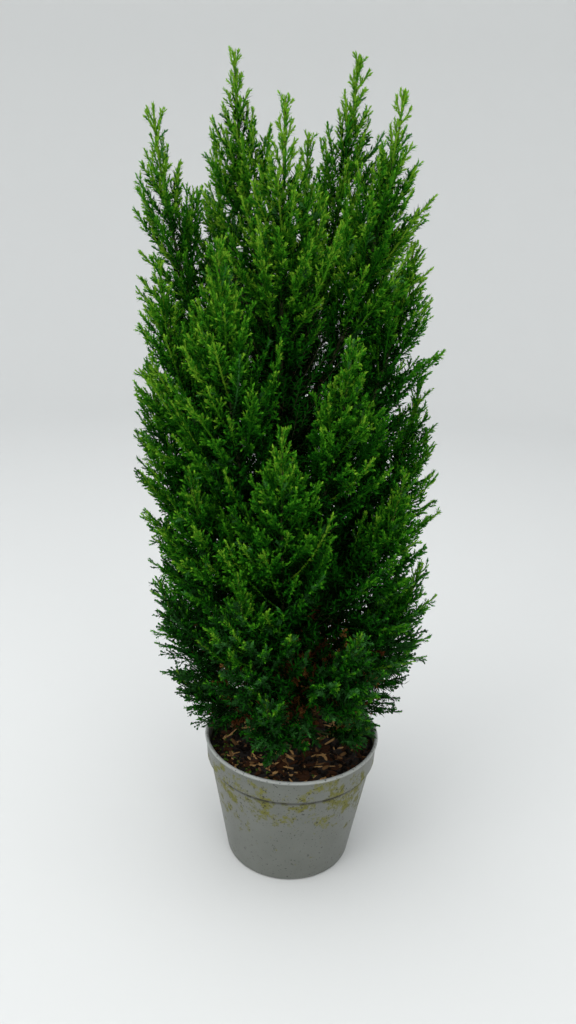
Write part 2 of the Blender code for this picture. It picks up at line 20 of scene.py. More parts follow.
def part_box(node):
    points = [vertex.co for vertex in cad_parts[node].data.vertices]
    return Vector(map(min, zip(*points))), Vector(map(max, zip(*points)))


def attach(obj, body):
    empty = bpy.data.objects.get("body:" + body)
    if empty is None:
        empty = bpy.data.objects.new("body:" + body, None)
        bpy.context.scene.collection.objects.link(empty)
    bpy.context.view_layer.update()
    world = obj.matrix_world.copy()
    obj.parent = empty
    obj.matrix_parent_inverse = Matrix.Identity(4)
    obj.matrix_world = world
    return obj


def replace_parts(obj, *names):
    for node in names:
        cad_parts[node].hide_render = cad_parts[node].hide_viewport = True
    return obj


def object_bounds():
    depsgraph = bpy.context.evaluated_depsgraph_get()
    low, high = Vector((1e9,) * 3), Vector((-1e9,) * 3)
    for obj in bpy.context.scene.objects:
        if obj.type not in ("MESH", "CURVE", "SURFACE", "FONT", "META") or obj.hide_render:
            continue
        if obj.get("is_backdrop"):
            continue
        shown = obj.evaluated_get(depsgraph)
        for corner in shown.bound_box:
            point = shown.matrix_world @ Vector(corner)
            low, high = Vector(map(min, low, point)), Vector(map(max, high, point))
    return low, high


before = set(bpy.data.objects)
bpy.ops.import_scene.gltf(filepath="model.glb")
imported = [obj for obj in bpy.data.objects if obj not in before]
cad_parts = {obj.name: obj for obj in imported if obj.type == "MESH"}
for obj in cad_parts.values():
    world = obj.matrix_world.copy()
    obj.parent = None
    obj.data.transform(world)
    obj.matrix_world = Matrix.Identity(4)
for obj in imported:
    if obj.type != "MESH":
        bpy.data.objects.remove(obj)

Range = tuple[float, float]
Place = tuple[float, float, float]
Pair = tuple[np.ndarray, np.ndarray]
Triple = tuple[np.ndarray, np.ndarray, np.ndarray]
Mesh = Pair
TintedMesh = Triple

BODY = "root"
SEED = 2611
GOLDEN_ANGLE = math.radians(137.508)
MM = 0.001
UP = np.array([0.0, 0.0, 1.0])
WAVE_SPREAD = (0.7, 1.4)
TWIG_END = 0.45

log = logging.getLogger("cypress")


# Colours and nodes


def linear(hex_colour: str) -> tuple[float, float, float, float]:
    """Turns an sRGB hex colour into linear RGBA.

    Args:
        hex_colour: Six hex digits after a hash, such as "#5a7d2b".

    Returns:
        Red, green, blue and alpha, as the shaders read them.
    """
    shares = [int(hex_colour[i : i + 2], 16) / 255.0 for i in (1, 3, 5)]
    curve = [s / 12.92 if s <= 0.04045 else ((s + 0.055) / 1.055) ** 2.4 for s in shares]
    return (*curve, 1.0)


def add_node(
    tree: bpy.types.NodeTree, kind: str, settings: dict, links: dict, output: int | str = 0
) -> bpy.types.NodeSocket:
    """Adds a shader node with its settings and links.

    Args:
        tree: The node tree that it goes in.
        kind: The node's type without its prefix, such as "TexNoise".
        settings: Values by the node's own attribute, or by the name or number of an input. A
            colour ramp's stops come as places and colours.
        links: The output sockets that feed it, by the name or number of the input.
        output: The name or number of the output that is wanted.

    Returns:
        That output.
    """
    node = tree.nodes.new("ShaderNode" + kind)
    for key, value in settings.items():
        if key == "color_ramp":
            for stop, (place, colour) in zip(node.color_ramp.elements, value):
                stop.position = place
                stop.color = colour
        elif isinstance(key, str) and hasattr(node, key):
            setattr(node, key, value)
        else:
            node.inputs[key].default_value = value
    for key, source in links.items():
        tree.links.new(source, node.inputs[key])
    return node.outputs[output]


# Directions, lines and noise


def unit(vectors: np.ndarray) -> np.ndarray:
    """Scales each vector, along the last axis, to a length of 1."""
    return vectors / np.maximum(np.linalg.norm(vectors, axis=-1, keepdims=True), 1e-12)


def square_to(vectors: np.ndarray, headings: np.ndarray) -> np.ndarray:
    """Takes from each vector its part along its heading, and scales the rest to 1."""
    return unit(vectors - headings * (vectors * headings).sum(-1, keepdims=True))


def swing(first: np.ndarray, second: np.ndarray, turn: np.ndarray) -> np.ndarray:
    """Turns from one direction towards another: cos turn first + sin turn second."""
    return np.cos(turn) * first + np.sin(turn) * second


def whole_turn(steps: int) -> np.ndarray:
    """Lists the turns of equal steps once round."""
    return np.linspace(0.0, math.tau, steps, endpoint=False)


def covered(values: np.ndarray, start: float, span: float) -> np.ndarray:
    """Reads how much of a span from its start is covered, 0 to 1. Below 0, the span runs down."""
    return np.clip((values - start) / span, 0.0, 1.0)


def read_line(line: np.ndarray, marks: np.ndarray, wanted: np.ndarray) -> np.ndarray:
    """Reads a line where a measure that grows along it has the wanted values.

    Args:
        line: The line's points, (k, 3).
        marks: The measure at each of them, (k,).
        wanted: The values, (n,).

    Returns:
        The points there, (n, 3).
    """
    return np.column_stack([np.interp(wanted, marks, column) for column in line.T])


def even_line(points: np.ndarray, count: int) -> np.ndarray:
    """Takes points at equal steps along a line.

    Args:
        points: The line, (n, 3).
        count: How many points are wanted.

    Returns:
        The same line with that many points.
    """
    steps = np.linalg.norm(np.diff(points, axis=0), axis=1)
    along = np.concatenate([[0.0], np.cumsum(steps)])
    return read_line(points, along, np.linspace(0.0, along[-1], count))


def nearest(points: np.ndarray, line: np.ndarray, widths: np.ndarray) -> Pair:
    """Measures how far points lie from a line, in widths of the line.

    Args:
        points: The points, (n, 3).
        line: The line, (k, 3).
        widths: The line's half-width at each of its points.

    Returns:
        The least distance in widths, and the width where it is least.
    """
    start = line[:-1]
    run = line[1:] - start
    offset = points[:, None, :] - start[None]
    share = np.clip((offset * run).sum(2) / (run * run).sum(1), 0.0, 1.0)
    gap = np.linalg.norm(offset - share[..., None] * run, axis=2)
    width = widths[:-1] + share * (widths[1:] - widths[:-1])
    best = (gap / width).argmin(1)
    rows = np.arange(len(points))
    return (gap / width)[rows, best], width[rows, best]


def waves(points: np.ndarray, size: float, seed: int, count: int = 8) -> np.ndarray:
    """Smooth noise: twice the mean of sine waves of random direction, each near one wave size.

    Args:
        points: Places, with x, y and z along the last axis.
        size: The length of a wave, in metres.
        seed: Picks the waves.
        count: How many waves there are.

    Returns:
        Values of about -1 to 1, one for each place.
    """
    rng = np.random.default_rng(seed)
    directions = unit(rng.normal(size=(count, 3)))
    pulls = directions * rng.uniform(*WAVE_SPREAD, (count, 1)) * math.tau / size
    phases = rng.uniform(0.0, math.tau, count)
    return np.sin(points @ pulls.T + phases).mean(-1) * 2.0


# Meshes and pieces


def put_mesh(name: str, points: np.ndarray, triangles: np.ndarray) -> bpy.types.Mesh:
    """Fills a mesh from arrays.

    Args:
        name: The mesh's name.
        points: Its vertices, (n, 3).
        triangles: The vertex numbers of its faces, (m, 3), turning left seen from outside.

    Returns:
        The mesh.
    """
    mesh = bpy.data.meshes.new(name)
    mesh.vertices.add(len(points))
    mesh.vertices.foreach_set("co", np.ascontiguousarray(points, np.float32).ravel())
    mesh.loops.add(triangles.size)
    mesh.loops.foreach_set("vertex_index", np.ascontiguousarray(triangles, np.int32).ravel())
    mesh.polygons.add(len(triangles))
    mesh.polygons.foreach_set("loop_start", np.arange(0, triangles.size, 3, dtype=np.int32))
    mesh.update(calc_edges=True)
    return mesh


def put_object(name: str, data: bpy.types.ID) -> bpy.types.Object:
    """Puts a mesh, a lamp or a camera in the scene, at the origin.

    Args:
        name: The object's name.
        data: What it holds.

    Returns:
        The object.
    """
    made = bpy.data.objects.new(name, data)
    bpy.context.scene.collection.objects.link(made)
    return made


def make_piece(
    name: str,
    points: np.ndarray,
    triangles: np.ndarray,
    finishes: Sequence["Finish"],
    slot: str,
    picks: np.ndarray | None = None,
    smooth: bool = True,
) -> bpy.types.Object:
    """Makes a piece that rides on the plant's body.

    Args:
        name: The piece's name.
        points: Its vertices.
        triangles: The vertex numbers of its faces.
        finishes: Its finishes, in the order of its material slots.
        slot: The record's material slot, which is not used.
        picks: The number of the finish of each face, where there are several.
        smooth: Whether its faces are shaded as one smooth skin.

    Returns:
        The piece, at the origin and unscaled.
    """
    mesh = put_mesh(name, points, triangles)
    for finish in finishes:
        mesh.materials.append(finish.material())
    if picks is not None:
        mesh.polygons.foreach_set("material_index", np.ascontiguousarray(picks, np.int32))
    mesh.polygons.foreach_set("use_smooth", np.full(len(triangles), smooth))
    piece = put_object(name, mesh)
    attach(piece, BODY)
    log.info("%s: %d triangles", name, len(triangles))
    return piece


def ring_walls(rings: int, sides: int) -> np.ndarray:
    """Lists the triangles between rings of points that follow each other.

    Args:
        rings: How many rings there are.
        sides: How many points a ring has.

    Returns:
        The vertex numbers of the triangles, two for each side between two rings.
    """
    ring, step = np.meshgrid(np.arange(rings - 1), np.arange(sides), indexing="ij")
    here = (ring * sides + step).ravel()
    beside = (ring * sides + (step + 1) % sides).ravel()
    first = np.stack([here, beside, beside + sides], 1)
    return np.concatenate([first, np.stack([here, beside + sides, here + sides], 1)])


def fan(pole: int, start: int, sides: int) -> np.ndarray:
    """Lists the triangles from a pole to each side of the ring that begins at a vertex."""
    around = np.arange(sides)
    return np.stack([np.full(sides, pole), start + around, start + (around + 1) % sides], 1)


def closed_rings(rings: int, sides: int) -> np.ndarray:
    """Lists the triangles over rings of points, closed by two poles that come after them."""
    foot, head = fan(rings * sides, 0, sides)[:, ::-1], fan(rings * sides + 1, (rings - 1) * sides, sides)
    return np.concatenate([ring_walls(rings, sides), foot, head])


def repeated(triangles: np.ndarray, points_each: int, count: int) -> np.ndarray:
    """Repeats one body's triangles for like bodies whose vertices follow each other."""
    return (triangles[None] + np.arange(count)[:, None, None] * points_each).reshape(-1, 3)


def spokes(lines: np.ndarray, sides: int, hints: np.ndarray) -> np.ndarray:
    """Works out the directions from lines to their rings: cos turn a + sin turn b, square to each.

    Args:
        lines: The middle lines, (n, k, 3).
        sides: How many points a ring has.
        hints: A direction for each line that its rings start from, (n, 3).

    Returns:
        The directions, (n, k, sides, 3).
    """
    headings = unit(np.gradient(lines, axis=1))
    first = square_to(np.broadcast_to(hints[:, None, :], lines.shape), headings)
    second = np.cross(headings, first)
    return swing(first[:, :, None, :], second[:, :, None, :], whole_turn(sides)[:, None])


def tubes(lines: np.ndarray, radii: np.ndarray, sides: int, hints: np.ndarray) -> Mesh:
    """Closed round tubes along many lines: each ring is line + radius x its spokes.

    Args:
        lines: The middle lines, (n, k, 3).
        radii: The radius at each of their points, (n, k), or by turn as well, (n, k, sides).
        sides: How many points a ring has.
        hints: A direction for each line that its rings start from, (n, 3).

    Returns:
        Vertices and triangles of all the tubes together.
    """
    count, rings, _ = lines.shape
    wide = radii[..., None] if radii.ndim == 2 else radii
    wide = np.broadcast_to(wide, (count, rings, sides))[..., None]
    skin = lines[:, :, None, :] + spokes(lines, sides, hints) * wide
    points = np.concatenate([skin.reshape(count, -1, 3), lines[:, (0, -1), :]], axis=1)
    return points.reshape(-1, 3), repeated(closed_rings(rings, sides), rings * sides + 2, count)


def spikes(lines: np.ndarray, radii: np.ndarray, hints: np.ndarray) -> Mesh:
    """Three-sided twigs that taper to a point: a ring at each point of the line but the last.

    Args:
        lines: The middle lines, (n, k, 3).
        radii: The radius at each of their points but the last, (k - 1,).
        hints: A direction for each line that its rings start from, (n, 3).

    Returns:
        Vertices and triangles of all the twigs together.
    """
    count, rings = lines.shape[0], lines.shape[1] - 1
    skin = lines[:, :-1, None, :] + spokes(lines, 3, hints)[:, :-1] * radii[None, :, None, None]
    points = np.concatenate([skin.reshape(count, 3 * rings, 3), lines[:, -1:, :]], axis=1)
    faces = np.concatenate([[[0, 2, 1]], ring_walls(rings, 3), fan(3 * rings, 3 * (rings - 1), 3)])
    return points.reshape(-1, 3), repeated(faces, 3 * rings + 1, count)


def turned(profile: np.ndarray, steps: int) -> Mesh:
    """Turns a profile round the Z axis: each point is (r cos turn, r sin turn, z).

    Args:
        profile: Points of radius and height, (m, 2), from the axis and back to it, running
            outwards along a surface that faces up.
        steps: How many copies of the profile stand round the axis.

    Returns:
        Vertices and triangles of the closed body.
    """
    radius, height = profile[1:-1, 0, None], profile[1:-1, 1, None]
    turn = whole_turn(steps)
    level = np.broadcast_to(height, (len(height), steps))
    rings = np.stack([radius * np.cos(turn), radius * np.sin(turn), level], axis=-1)
    poles = profile[(0, -1), 1][:, None] * UP
    points = np.concatenate([rings.reshape(-1, 3), poles])
    return points, closed_rings(len(height), steps)[:, ::-1]


def rounded(corners: Sequence[Place], points: int = 5) -> np.ndarray:
    """Rounds the corners of a profile, each by a parabola that starts and ends its reach away.

    Args:
        corners: Radius, height and the reach of the rounding, for each corner.
        points: How many points each rounding has.

    Returns:
        The rounded profile, (m, 2).
    """
    rows = np.array(corners)
    places, reach = rows[:, :2], rows[:, 2:]
    back = places[1:-1] + unit(places[:-2] - places[1:-1]) * reach[1:-1]
    on = places[1:-1] + unit(places[2:] - places[1:-1]) * reach[1:-1]
    t = np.linspace(0.0, 1.0, points)[:, None, None]
    curve = (1 - t) ** 2 * back + 2 * t * (1 - t) * places[1:-1] + t**2 * on
    middle = curve.transpose(1, 0, 2).reshape(-1, 2)
    line = np.concatenate([places[:1], middle, places[-1:]])
    apart = np.linalg.norm(np.diff(line, axis=0), axis=1) > 1e-7
    return line[np.concatenate([[True], apart])]


def stacked(parts: Sequence[Mesh]) -> Mesh:
    """Joins meshes: each one's vertex numbers move past the vertices before it.

    Args:
        parts: Vertices and triangles of each mesh.

    Returns:
        Vertices and triangles of them all.
    """
    starts = np.cumsum([0] + [len(points) for points, _ in parts[:-1]])
    triangles = [faces + start for (_, faces), start in zip(parts, starts)]
    return np.concatenate([points for points, _ in parts]), np.concatenate(triangles)


# Finishes


@dataclass(frozen=True)
class Finish:
    """What every finish has: its name, its main colour and how rough it is."""

    name: str
    colour: str
    roughness: float

    def material(self) -> bpy.types.Material:
        """Makes the finish's material on first use.

        Returns:
            The material.
        """
        found = bpy.data.materials.get(self.name)
        if found is not None:
            return found
        made = bpy.data.materials.new(self.name)
        made.use_nodes = True
        shader = made.node_tree.nodes["Principled BSDF"]
        shader.inputs["Base Color"].default_value = linear(self.colour)
        shader.inputs["Roughness"].default_value = self.roughness
        made.diffuse_color = linear(self.colour)
        self.dress(made.node_tree, shader)
        return made

    def dress(self, tree: bpy.types.NodeTree, shader: bpy.types.Node) -> None:
        """Leaves a plain finish as it is; the others add their pattern or gloss here."""


@dataclass(frozen=True)
class PaintedBoard(Finish):
    """Matt painted board, rolled: the plain pale ground that the pot stands on."""


@dataclass(frozen=True)
class LeafSkin(Finish):
    """Waxy living leaf skin, grown: a plain colour with a soft gloss, dealt out spray by spray."""

    gloss: float = 0.04

    def dress(self, tree: bpy.types.NodeTree, shader: bpy.types.Node) -> None:
        """Sets the wax's gloss."""
        shader.inputs["Specular IOR Level"].default_value = self.gloss


@dataclass(frozen=True)
class SplitWood(Finish):
    """Split or shredded wood and bark, torn: matt and plain, one colour for each kind of bit."""

    gloss: float = 0.15

    def dress(self, tree: bpy.types.NodeTree, shader: bpy.types.Node) -> None:
        """Takes most of the gloss off."""
        shader.inputs["Specular IOR Level"].default_value = self.gloss


@dataclass(frozen=True)
class StringyBark(Finish):
    """Young cypress bark, grown: thin fibrous strips that run up the limb over a darker ground."""

    strip: str = "#8a5a3c"
    strip_width: float = 1.2 * MM
    strip_length: float = 14.0 * MM
    strip_edge: Range = (0.38, 0.66)
    relief: float = 0.4 * MM

    def dress(self, tree: bpy.types.NodeTree, shader: bpy.types.Node) -> None:
        """Adds the strips, as noise drawn out along the height, and their relief.

        Args:
            tree: The material's node tree.
            shader: Its Principled shader.
        """
        place = add_node(tree, "TexCoord", {}, {}, "Object")
        across, along = 1.0 / self.strip_width, 1.0 / self.strip_length
        drawn = add_node(tree, "Mapping", {"Scale": (across, across, along)}, {"Vector": place})
        fibrous = {"Scale": 0.6, "Detail": 5.0, "Roughness": 0.65}
        fibres = add_node(tree, "TexNoise", fibrous, {"Vector": drawn})
        stops = tuple(zip(self.strip_edge, (linear(self.colour), linear(self.strip))))
        colour = add_node(tree, "ValToRGB", {"color_ramp": stops}, {"Fac": fibres})
        bump = add_node(tree, "Bump", {"Strength": 0.7, "Distance": self.relief}, {"Height": fibres})
        tree.links.new(colour, shader.inputs["Base Color"])
        tree.links.new(bump, shader.inputs["Normal"])


@dataclass(frozen=True)
class PeatMix(Finish):
    """Moist peat and fine bark, heaped: near-black crumbs with rusty fibre between them."""

    fibre: str = "#33200f"
    crumb: float = 2.4 * MM
    crumb_edge: Range = (0.45, 0.72)
    relief: float = 1.0 * MM

    def dress(self, tree: bpy.types.NodeTree, shader: bpy.types.Node) -> None:
        """Adds the crumbs, their fibre and their relief.

        Args:
            tree: The material's node tree.
            shader: Its Principled shader.
        """
        place = add_node(tree, "TexCoord", {}, {}, "Object")
        crumbly = {"Scale": 1.0 / self.crumb, "Detail": 6.0, "Roughness": 0.7}
        crumbs = add_node(tree, "TexNoise", crumbly, {"Vector": place})
        stops = tuple(zip(self.crumb_edge, (linear(self.colour), linear(self.fibre))))
        colour = add_node(tree, "ValToRGB", {"color_ramp": stops}, {"Fac": crumbs})
        bump = add_node(tree, "Bump", {"Strength": 1.0, "Distance": self.relief}, {"Height": crumbs})
        tree.links.new(colour, shader.inputs["Base Color"])
        tree.links.new(bump, shader.inputs["Normal"])


@dataclass(frozen=True)
class MouldedPlastic(Finish):
    """Grey recycled polypropylene, injection moulded and weathered: satin, with algae and dirt.

    The algae grow as olive patches, most of them just under the step, and the dirt as dark specks.
    A dark line in the step is painted shade under the band's edge, partly dirt. The lip is painted
    paler: a painted highlight on the rolled lip, partly rubbed clean.
    """

    worn: str = "#565952"
    algae: str = "#4a4a0e"
    young_algae: str = "#73720f"
    # The dark of the dirt specks, used also for the painted shade line in the step
    grime_and_shade: str = "#191710"
    # The lip's paler grey: a painted highlight on the rolled lip, partly rubbed clean
    lip: str = "#9da09d"
    patch: float = 11.0 * MM
    speck: float = 2.0 * MM
    algae_from: float = 0.030
    algae_to: float = 0.090
    algae_gain: float = 0.17
    lip_from: float = 0.1125
    lip_loss: float = -0.10
    lip_lit_and_rubbed: float = 0.8
    film_edge: Range = (0.612, 0.70)
    grime_edge: Range = (0.745, 0.79)
    grime_in_damp: float = 0.22
    thickest: float = 0.92
    # Where the painted shade line in the step lies, and how far it fades
    step_height: float = 0.0912
    step_shadow: float = 2.2 * MM
    film_dullness: float = 0.35
    grain: float = 0.15 * MM

    def dress(self, tree: bpy.types.NodeTree, shader: bpy.types.Node) -> None:
        """Adds the mottled grey, the algae, the grime and a fine moulded grain.

        Args:
            tree: The material's node tree.
            shader: Its Principled shader.
        """
        place = add_node(tree, "TexCoord", {}, {}, "Object")
        height = add_node(tree, "SeparateXYZ", {}, {"Vector": place}, "Z")
        cloud, growth, specks = (
            add_node(
                tree, "TexNoise", {"Scale": scale, "Detail": detail, "Roughness": rough}, {"Vector": place}
            )
            for scale, detail, rough in (
                (0.4 / self.patch, 4.0, 0.6),
                (1.0 / self.patch, 8.0, 0.7),
                (1.0 / self.speck, 3.0, 0.6),
            )
        )
        # How far up the body, up the band and onto the lip a place is
        on_body, on_band, on_lip = (
            add_node(
                tree, "MapRange", {"From Min": low, "From Max": top, "To Max": most}, {"Value": height}
            )
            for low, top, most in (
                (self.algae_from, self.algae_to, self.algae_gain),
                (self.algae_to, self.lip_from, self.lip_loss),
                (self.lip_from, self.lip_from + MM, self.lip_lit_and_rubbed),
            )
        )
        favour = add_node(tree, "Math", {"operation": "ADD"}, {0: on_body, 1: on_band})
        damp = add_node(tree, "Math", {"operation": "ADD"}, {0: growth, 1: favour})
        dotted = {"operation": "MULTIPLY_ADD", 1: self.grime_in_damp}
        crowded = add_node(tree, "Math", dotted, {0: damp, 2: specks})
        thick = {"To Max": self.thickest}
        film, dirt = (
            add_node(tree, "MapRange", thick | {"From Min": low, "From Max": top}, {"Value": level})
            for level, (low, top) in ((damp, self.film_edge), (crowded, self.grime_edge))
        )
        # The painted shade line in the step, partly dirt, split up by the patches
        above = add_node(tree, "Math", {"operation": "SUBTRACT", 1: self.step_height}, {0: height})
        away = add_node(tree, "Math", {"operation": "ABSOLUTE"}, {0: above})
        fading = {"From Min": 0.0, "From Max": self.step_shadow, "To Min": 2.0, "To Max": 0.0}
        line = add_node(tree, "MapRange", fading, {"Value": away})
        broken_step_shade = add_node(tree, "Math", {"operation": "MULTIPLY", "use_clamp": True}, {0: line, 1: growth})
        # The dirt specks and the painted shade line, whichever is darker
        soil = add_node(tree, "Math", {"operation": "MAXIMUM"}, {0: dirt, 1: broken_step_shade})
        # The colours, each laid over the ones before it: the greys, the greens, the lip's painted
        # highlight, partly rubbed clean, then the dirt with the painted shade line in the step
        mix = {"data_type": "RGBA"}
        greys = mix | {6: linear(self.colour), 7: linear(self.worn)}
        grey = add_node(tree, "Mix", greys, {0: cloud}, 2)
        greens = mix | {6: linear(self.algae), 7: linear(self.young_algae)}
        green = add_node(tree, "Mix", greens, {0: cloud}, 2)
        grown = add_node(tree, "Mix", mix, {0: film, 6: grey, 7: green}, 2)
        lit_and_rubbed_lip = add_node(tree, "Mix", mix | {7: linear(self.lip)}, {0: on_lip, 6: grown}, 2)
        grimed_and_shaded = add_node(tree, "Mix", mix | {7: linear(self.grime_and_shade)}, {0: soil, 6: lit_and_rubbed_lip}, 2)
        duller = {"To Min": self.roughness, "To Max": self.roughness + self.film_dullness}
        rough = add_node(tree, "MapRange", duller, {"Value": film})
        bump = add_node(tree, "Bump", {"Strength": 0.25, "Distance": self.grain}, {"Height": damp})
        for socket, output in (("Base Color", grimed_and_shaded), ("Roughness", rough), ("Normal", bump)):
            tree.links.new(output, shader.inputs[socket])


class Tint(IntEnum):
    """The sprays' colours: the greens, new to old and painted lit to shaded, the blooms, the dead ones."""

    NEW = 0
    FRESH = 1
    LEAF = 2
    DEEP = 3
    INNER = 4
    BLUE = 5
    SLATE = 6
    RUST = 7
    STRAW = 8


# Lit and shaded copies of the green: painted light and shade on top of the needles' age
SKINS = {
    Tint.NEW: LeafSkin("cypress_needle_new_growth", "#76a62a", 0.55),
    Tint.FRESH: LeafSkin("cypress_needle_fresh", "#498b1a", 0.58),
    Tint.LEAF: LeafSkin("cypress_needle_full_green", "#266a10", 0.60),
    Tint.DEEP: LeafSkin("cypress_needle_shaded", "#124a07", 0.65),
    # Near-black old growth deep in the crown, partly painted shade
    Tint.INNER: LeafSkin("cypress_needle_inner_old", "#062203", 0.75),
    Tint.BLUE: LeafSkin("cypress_needle_blue_bloom", "#3c7236", 0.62),
    Tint.SLATE: LeafSkin("cypress_needle_low_bloom", "#224a1f", 0.65),
    Tint.RUST: LeafSkin("cypress_needle_dead_rust", "#5c371d", 0.75),
    Tint.STRAW: LeafSkin("cypress_needle_dead_straw", "#8a6536", 0.75),
}
SHADED = (Tint.INNER, Tint.DEEP, Tint.SLATE, Tint.RUST)
BROWN_STEM = StringyBark("cypress_twig_browning", "#2a2d11", 0.80, "#434a20", 0.8 * MM)
BARK = StringyBark("cypress_bark_young", "#2e1b11", 0.88, "#5b3a26")


# The rule that the plumes follow, as in the solids


TRUNK_LINE = (
    (0.102, 0.0000, 0.0000, 0.0098),
    (0.107, 0.0000, 0.0000, 0.0074),
    (0.118, -0.0008, 0.0004, 0.0064),
    (0.180, -0.0050, 0.0024, 0.0057),
    (0.260, -0.0100, 0.0010, 0.0048),
    (0.340, -0.0140, -0.0020, 0.0038),
    (0.410, -0.0200, 0.0000, 0.0028),
    (0.470, -0.0270, 0.0030, 0.0019),
)
TRUNK_POINTS = 16

CROWN_RADIUS = (
    (0.115, 0.086),
    (0.150, 0.106),
    (0.200, 0.119),
    (0.280, 0.125),
    (0.400, 0.123),
    (0.520, 0.114),
    (0.640, 0.104),
)
CROWN_DRIFT = ((0.115, 0.0), (0.62, -0.024))
CROWN_DEPTH = 0.93
BOUGH_SHARE = 0.24
STEM_SHARE = 0.14
TOP_SHARE = 0.06
LINE_POINTS = 25
ARCH_STEPS = 80
HEADING_STEP = 0.02
LEAVE = (0.58, 0.20)
ARRIVE = (0.10, 0.42)
NEAR = 1.3
SWELL = ((0.0, 0.50), (0.14, 0.90), (0.42, 1.0), (0.70, 0.68), (0.88, 0.34), (1.0, 0.18))
BARE_WIDTH = 0.0065
SPRAY_LEAN = (44.0, 24.0)
SPRAY_REACH = 1.12
AZIMUTH_WANDER = 5.0
HEIGHT_STAGGER = 0.7
HEIGHT_WANDER = 0.5
ROOT_STRIDE = 3


class Tier(Enum):
    """The tiers of the crown, from the top shoots down to the pot's rim."""

    SPIRE = "spire"
    SHOULDER = "shoulder"
    FLANK = "flank"
    WAIST = "waist"
    SKIRT = "skirt"


SPIRES = {
    "leader": ((-0.062, 0.010, 0.6465), 0.470, 0.034),
    "spire_left": ((-0.113, -0.015, 0.6095), 0.352, 0.040),
    "spire_front": ((-0.009, -0.050, 0.6115), 0.366, 0.037),
    "spire_right": ((0.0244, 0.020, 0.6450), 0.408, 0.035),
    "spire_far_right": ((0.061, -0.010, 0.6200), 0.380, 0.037),
    "spire_back_left": ((-0.092, 0.060, 0.5920), 0.336, 0.039),
    "spire_back": ((-0.022, 0.076, 0.6000), 0.360, 0.038),
    "spire_back_right": ((0.046, 0.060, 0.5860), 0.344, 0.038),
}


@dataclass(frozen=True)
class TierRule:
    """One tier of plumes: how many, where they root and tip, how far they reach, how wide they are."""

    tier: Tier
    count: int
    lowest_root: float
    climb: float
    tip_height: float
    differ: float
    reach: float
    half_width: float
    first_azimuth: float
    bough: bool


TIERS = (
    TierRule(Tier.SHOULDER, 7, 0.232, 0.070, 0.496, 0.030, 0.82, 0.043, -100.0, True),
    TierRule(Tier.FLANK, 8, 0.176, 0.050, 0.396, 0.030, 0.86, 0.048, -74.0, False),
    TierRule(Tier.WAIST, 8, 0.134, 0.034, 0.286, 0.026, 0.88, 0.048, -98.0, False),
    TierRule(Tier.SKIRT, 7, 0.114, 0.020, 0.186, 0.020, 0.87, 0.050, -90.0, False),
)


def trunk_axis() -> Pair:
    """Works out the trunk's middle line.

    Returns:
        Its points and the radius at each.
    """
    rows = np.array(TRUNK_LINE)
    heights = np.concatenate([rows[:2, 0], np.linspace(rows[2, 0], rows[-1, 0], TRUNK_POINTS - 2)])
    x, y, radius = (np.interp(heights, rows[:, 0], rows[:, column]) for column in (1, 2, 3))
    for lean in (x, y):
        lean[2:-1] = 0.25 * lean[1:-2] + 0.5 * lean[2:-1] + 0.25 * lean[3:]
    return np.column_stack([x, y, heights]), radius


def crown_at(height: np.ndarray | float) -> Pair:
    """Reads the crown's radius and the X of its middle at a height."""
    return np.interp(height, *zip(*CROWN_RADIUS)), np.interp(height, *zip(*CROWN_DRIFT))


def from_middle(points: np.ndarray) -> Pair:
    """Measures how far points stand from the crown's middle, and how wide the crown is there.

    Args:
        points: The points, (n, 3).

    Returns:
        Their distances, as if the crown were round, and its radius at their heights.
    """
    radius, middle = crown_at(points[:, 2])
    return np.hypot(points[:, 0] - middle, points[:, 1] / CROWN_DEPTH), radius


